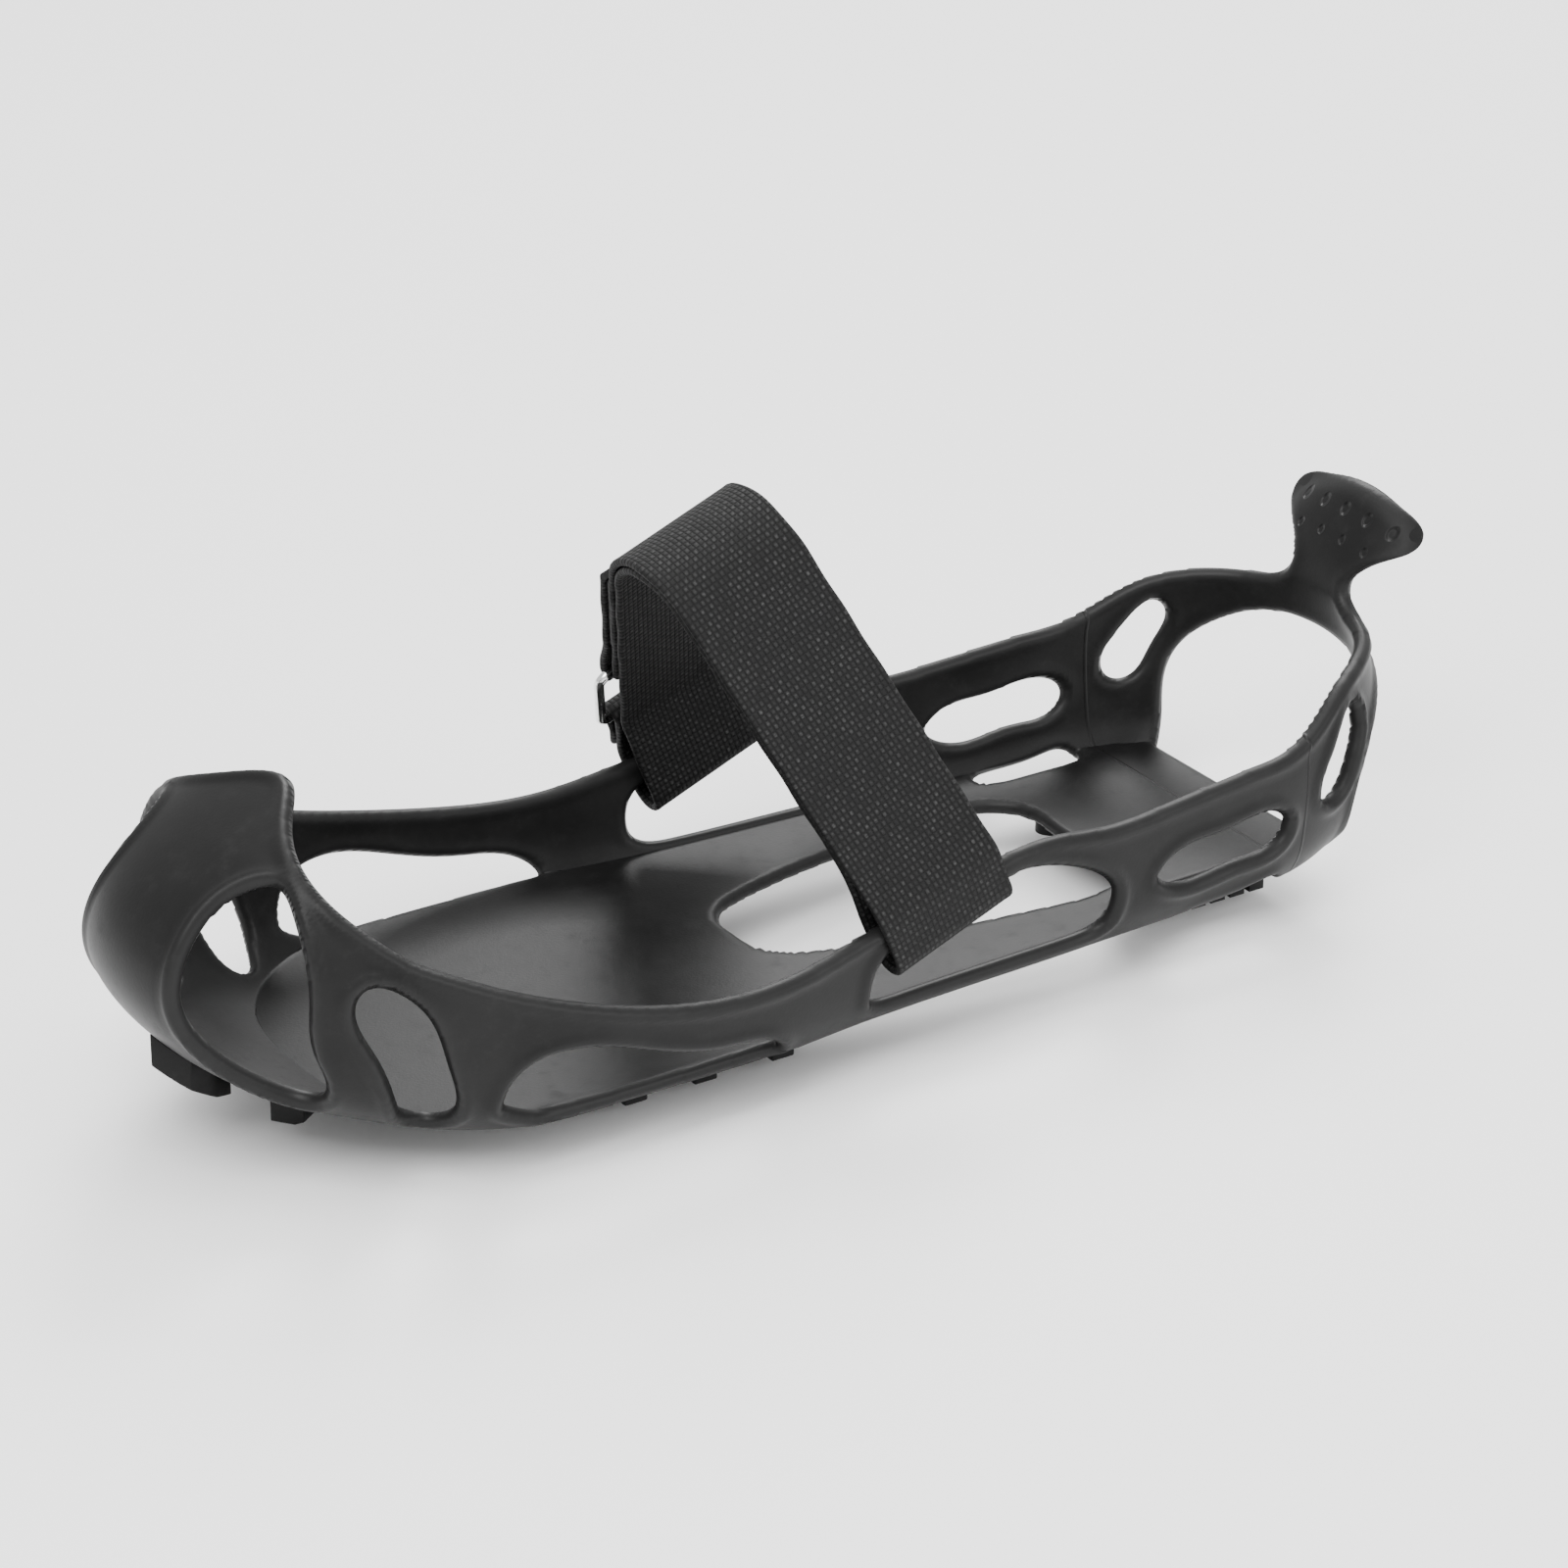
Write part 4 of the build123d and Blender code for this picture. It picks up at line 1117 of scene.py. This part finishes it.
def filleted(points: Sequence[Point2], radii: Sequence[float], spacing: float) -> np.ndarray:
    """A polyline with a round fillet at every inner corner, as closely spaced points."""
    corners = np.asarray(points, float)
    line = [corners[0]]
    for before, corner, after, radius in zip(corners, corners[1:], corners[2:], radii):
        come = (corner - before) / np.linalg.norm(corner - before)
        go = (after - corner) / np.linalg.norm(after - corner)
        turn = math.atan2(come[0] * go[1] - come[1] * go[0], float(come @ go))
        if abs(turn) < 1e-4:
            continue
        cut = radius * math.tan(abs(turn) / 2)
        side = math.copysign(1, turn)
        centre = corner - come * cut + side * radius * np.array([-come[1], come[0]])
        arm = corner - come * cut - centre
        for share in np.linspace(0, 1, max(6, int(radius * abs(turn) / spacing))):
            c, s = math.cos(turn * share), math.sin(turn * share)
            line.append(centre + np.array([c * arm[0] - s * arm[1], s * arm[0] + c * arm[1]]))
    line.append(corners[-1])
    dense = []
    for a, b in zip(line, line[1:]):
        steps = max(1, int(np.linalg.norm(b - a) / spacing))
        dense.extend(a + (b - a) * t for t in np.linspace(0, 1, steps, endpoint=False))
    dense.append(line[-1])
    return np.array(dense)


@dataclass
class WovenBand:
    """A strip of webbing that follows a route in the strap's plane.

    Args:
        route: The strap's sizes and routes.
        shift: Distance along the shoe between the form's middle and the frame's origin, in metres.
    """

    route: StrapRoute
    shift: float
    spacing: float = 0.75
    edge_points: int = 7
    face_points: int = 26
    selvedge: float = 0.16
    ripple: float = 0.10

    def build(self, name: str, corners: Sequence[Point2], radii: Sequence[float]) -> bpy.types.Object:
        """The band as a closed mesh, with its weave coordinates stored on it."""
        line = filleted(corners, radii, self.spacing)
        tangent = np.gradient(line, axis=0)
        tangent /= np.linalg.norm(tangent, axis=1, keepdims=True)
        side = np.column_stack([-tangent[:, 1], tangent[:, 0]])
        length = np.concatenate([[0], np.cumsum(np.linalg.norm(np.diff(line, axis=0), axis=1))])
        across, out = self._section()
        count, around = len(line), len(across)
        rows = line[:, None, :] + side[:, None, :] * out[None, :, None]
        width = np.broadcast_to(across, (count, around))
        wave = self.ripple * np.sin(length / 2.3)[:, None] * (np.abs(across) > self.route.width / 2 - 1.2)
        width = width + wave * np.sign(across)
        points = self._place(rows[..., 0], rows[..., 1], width)
        index = np.arange(count * around).reshape(count, around)
        right = np.roll(index, -1, axis=1)
        quads = np.stack([index[:-1], right[:-1], right[1:], index[1:]], axis=-1).reshape(-1, 4)
        faces = [tuple(quad) for quad in quads] + [tuple(index[0][::-1]), tuple(index[-1])]
        piece = new_mesh(name, points.reshape(-1, 3) * MM, faces)
        weave = np.stack([np.broadcast_to(length[:, None], (count, around)), width,
                          np.broadcast_to(out, (count, around))], axis=-1)
        store(piece, "weave", weave.reshape(-1, 3) * MM)
        work = bmesh.new()
        work.from_mesh(piece.data)
        bmesh.ops.recalc_face_normals(work, faces=work.faces)
        work.to_mesh(piece.data)
        work.free()
        for face in piece.data.polygons:
            face.use_smooth = len(face.vertices) == 4
        return piece

    def _section(self) -> tuple[np.ndarray, np.ndarray]:
        """Cross section of the webbing: places across it and out of it."""
        half, thick = self.route.width / 2, self.route.webbing / 2 - self.selvedge * 0.5
        turn = np.linspace(-math.pi / 2, math.pi / 2, self.edge_points)
        end_across = half - thick + thick * np.cos(turn)
        end_out = (thick + self.selvedge * 0.4) * np.sin(turn)
        flat = np.linspace(half - thick, -(half - thick), self.face_points)[1:-1]
        across = np.concatenate([end_across, flat, -end_across, -flat])
        out = np.concatenate([end_out, np.full(len(flat), thick), -end_out, np.full(len(flat), -thick)])
        return across, out

    def _place(self, x: np.ndarray, up: np.ndarray, across: np.ndarray) -> np.ndarray:
        """Points of the strap's plane in the form's frame, in millimetres."""
        r = self.route
        lean = math.radians(r.tilt)
        y = r.foot_y - up * math.sin(lean)
        return np.stack([x, y - across * math.cos(lean) + self.shift / MM,
                         r.foot_z + up * math.cos(lean) - across * math.sin(lean)], axis=-1)


@dataclass
class Strap:
    """The cinch strap: its loop and its free end."""

    palette: Palette
    shift: float

    def build(self) -> None:
        """Makes both bands, hides the nodes that they stand for and puts each band on its body."""
        route = StrapRoute()
        band = WovenBand(route, self.shift)
        loop = band.build("strap_loop", *route.loop_route())
        self.palette.dress(loop, Finish.WEBBING)
        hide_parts("strap_webbing")
        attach(loop, "strap")
        tail = band.build("strap_free_end", *route.tail_route())
        self.palette.dress(tail, Finish.WEBBING)
        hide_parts("strap_tail")
        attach(tail, "tail")


# ------------------------------------------------------------------ nodes shown as they are
@dataclass
class CarriedNodes:
    """CAD nodes that are shown, with their edges softened."""

    palette: Palette
    nodes: dict[str, bpy.types.Object]
    rubber_bevel: float = 0.55
    steel_bevel: float = 0.30

    RUBBER = ("forefoot_tread_pad", "heel_tread_pad", "forefoot_edge_lugs", "forefoot_centre_lugs",
              "chevron_lugs", "heel_lugs", "toe_lugs")
    PLATES = ("front_tooth_plate", "middle_tooth_plate", "heel_tooth_plate")

    def build(self) -> None:
        """Dresses every node that no made piece stands for."""
        for name in self.RUBBER:
            self._finish(name, Finish.RUBBER, self.rubber_bevel)
        for name in self.PLATES:
            for side in ("left", "right"):
                self._finish(f"{name}_{side}", Finish.STEEL, self.steel_bevel)
        self._finish("keeper_ring", Finish.RING, 0)
        self._finish("hook_tape", Finish.HOOK, 0)
        self._finish("strap_stitching", Finish.THREAD, 0.12)

    def _finish(self, name: str, finish: Finish, bevel: float) -> None:
        """Gives one node its material and a small round on its sharp edges."""
        node = self.nodes[name]
        self.palette.dress(node, finish)
        weld = node.modifiers.new("weld", "WELD")
        weld.merge_threshold = 0.01 * MM
        if bevel:
            edge = node.modifiers.new("edge", "BEVEL")
            edge.width = bevel * MM
            edge.segments = 3
            edge.limit_method = "ANGLE"
            edge.angle_limit = math.radians(35)
            edge.harden_normals = True
        node.data.shade_smooth()


# ------------------------------------------------------------------ studio
@dataclass
class Studio:
    """Pale floor, soft lights and the camera."""

    target: Vector
    back: Vector
    distance: float = 1.1
    lens: float = 122.0

    def build(self) -> None:
        """Adds the floor, the lights, the background and the camera."""
        self._floor()
        self._world()
        self._light("key", (0.55, -0.75, 1.25), 0.9, 26)
        self._light("fill", (1.35, 0.55, 0.75), 0.9, 12)
        self._light("rim", (-0.9, 0.75, 1.05), 0.7, 20)
        self._light("top", (0.0, 0.0, 1.6), 1.2, 14)
        self._camera()

    @staticmethod
    def _floor() -> None:
        """A wide pale floor with a faint mottle."""
        grid = np.array([(x, y, 0.0) for y in (-6, 6) for x in (-6, 6)], float)
        floor = new_mesh("floor", grid, [(0, 1, 3, 2)])
        graph = Graph("floor")
        mottle = graph.noise(graph.place(), 6, 2, 0.5)
        colour = graph.mix(mottle, grey(0.93), grey(0.96))
        floor.data.materials.append(graph.finish(Base_Color=colour, Roughness=0.6))

    @staticmethod
    def _world() -> None:
        """An even white surround."""
        world = bpy.data.worlds.new("surround")
        world.use_nodes = True
        world.node_tree.nodes["Background"].inputs["Color"].default_value = (1, 1, 1, 1)
        world.node_tree.nodes["Background"].inputs["Strength"].default_value = 1.0
        bpy.context.scene.world = world

    def _light(self, name: str, place: tuple[float, float, float], size: float, power: float) -> None:
        """A square soft light turned to the target."""
        lamp = bpy.data.lights.new(name, "AREA")
        lamp.size = size
        lamp.energy = power
        thing = bpy.data.objects.new(name, lamp)
        thing.location = place
        thing.rotation_euler = (Vector(place) - self.target).to_track_quat("Z", "Y").to_euler()
        bpy.context.scene.collection.objects.link(thing)

    def _camera(self) -> None:
        """The main view."""
        data = bpy.data.cameras.new("main")
        data.lens = self.lens
        data.sensor_width = 36
        camera = bpy.data.objects.new("main", data)
        camera.location = self.target + self.back.normalized() * self.distance
        camera.rotation_euler = self.back.to_track_quat("Z", "Y").to_euler()
        bpy.context.scene.collection.objects.link(camera)
        bpy.context.scene.camera = camera


# ------------------------------------------------------------------ the whole scene
def corners(box: Iterable[Iterable[float]]) -> list[list[float]]:
    """A box's two corners as plain lists."""
    return [list(map(float, corner)) for corner in box]


def main() -> None:
    """Builds the cleat's looks and the studio round it."""
    logging.basicConfig(level=logging.INFO, format="%(name)s: %(message)s")
    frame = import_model()
    low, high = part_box("heel_tread_pad")
    form_pad_middle = 100.5 * MM
    shift = (low[1] + high[1]) / 2 - form_pad_middle
    palette = Palette.build(shift)
    Harness(palette, shift).build()
    Strap(palette, shift).build()
    CarriedNodes(palette, frame["nodes"]).build()
    Studio(Vector((0, 0.0, 0.045)), Vector((0.760, -0.494, 0.4226))).build()


if __name__ == "__main__":
    main()
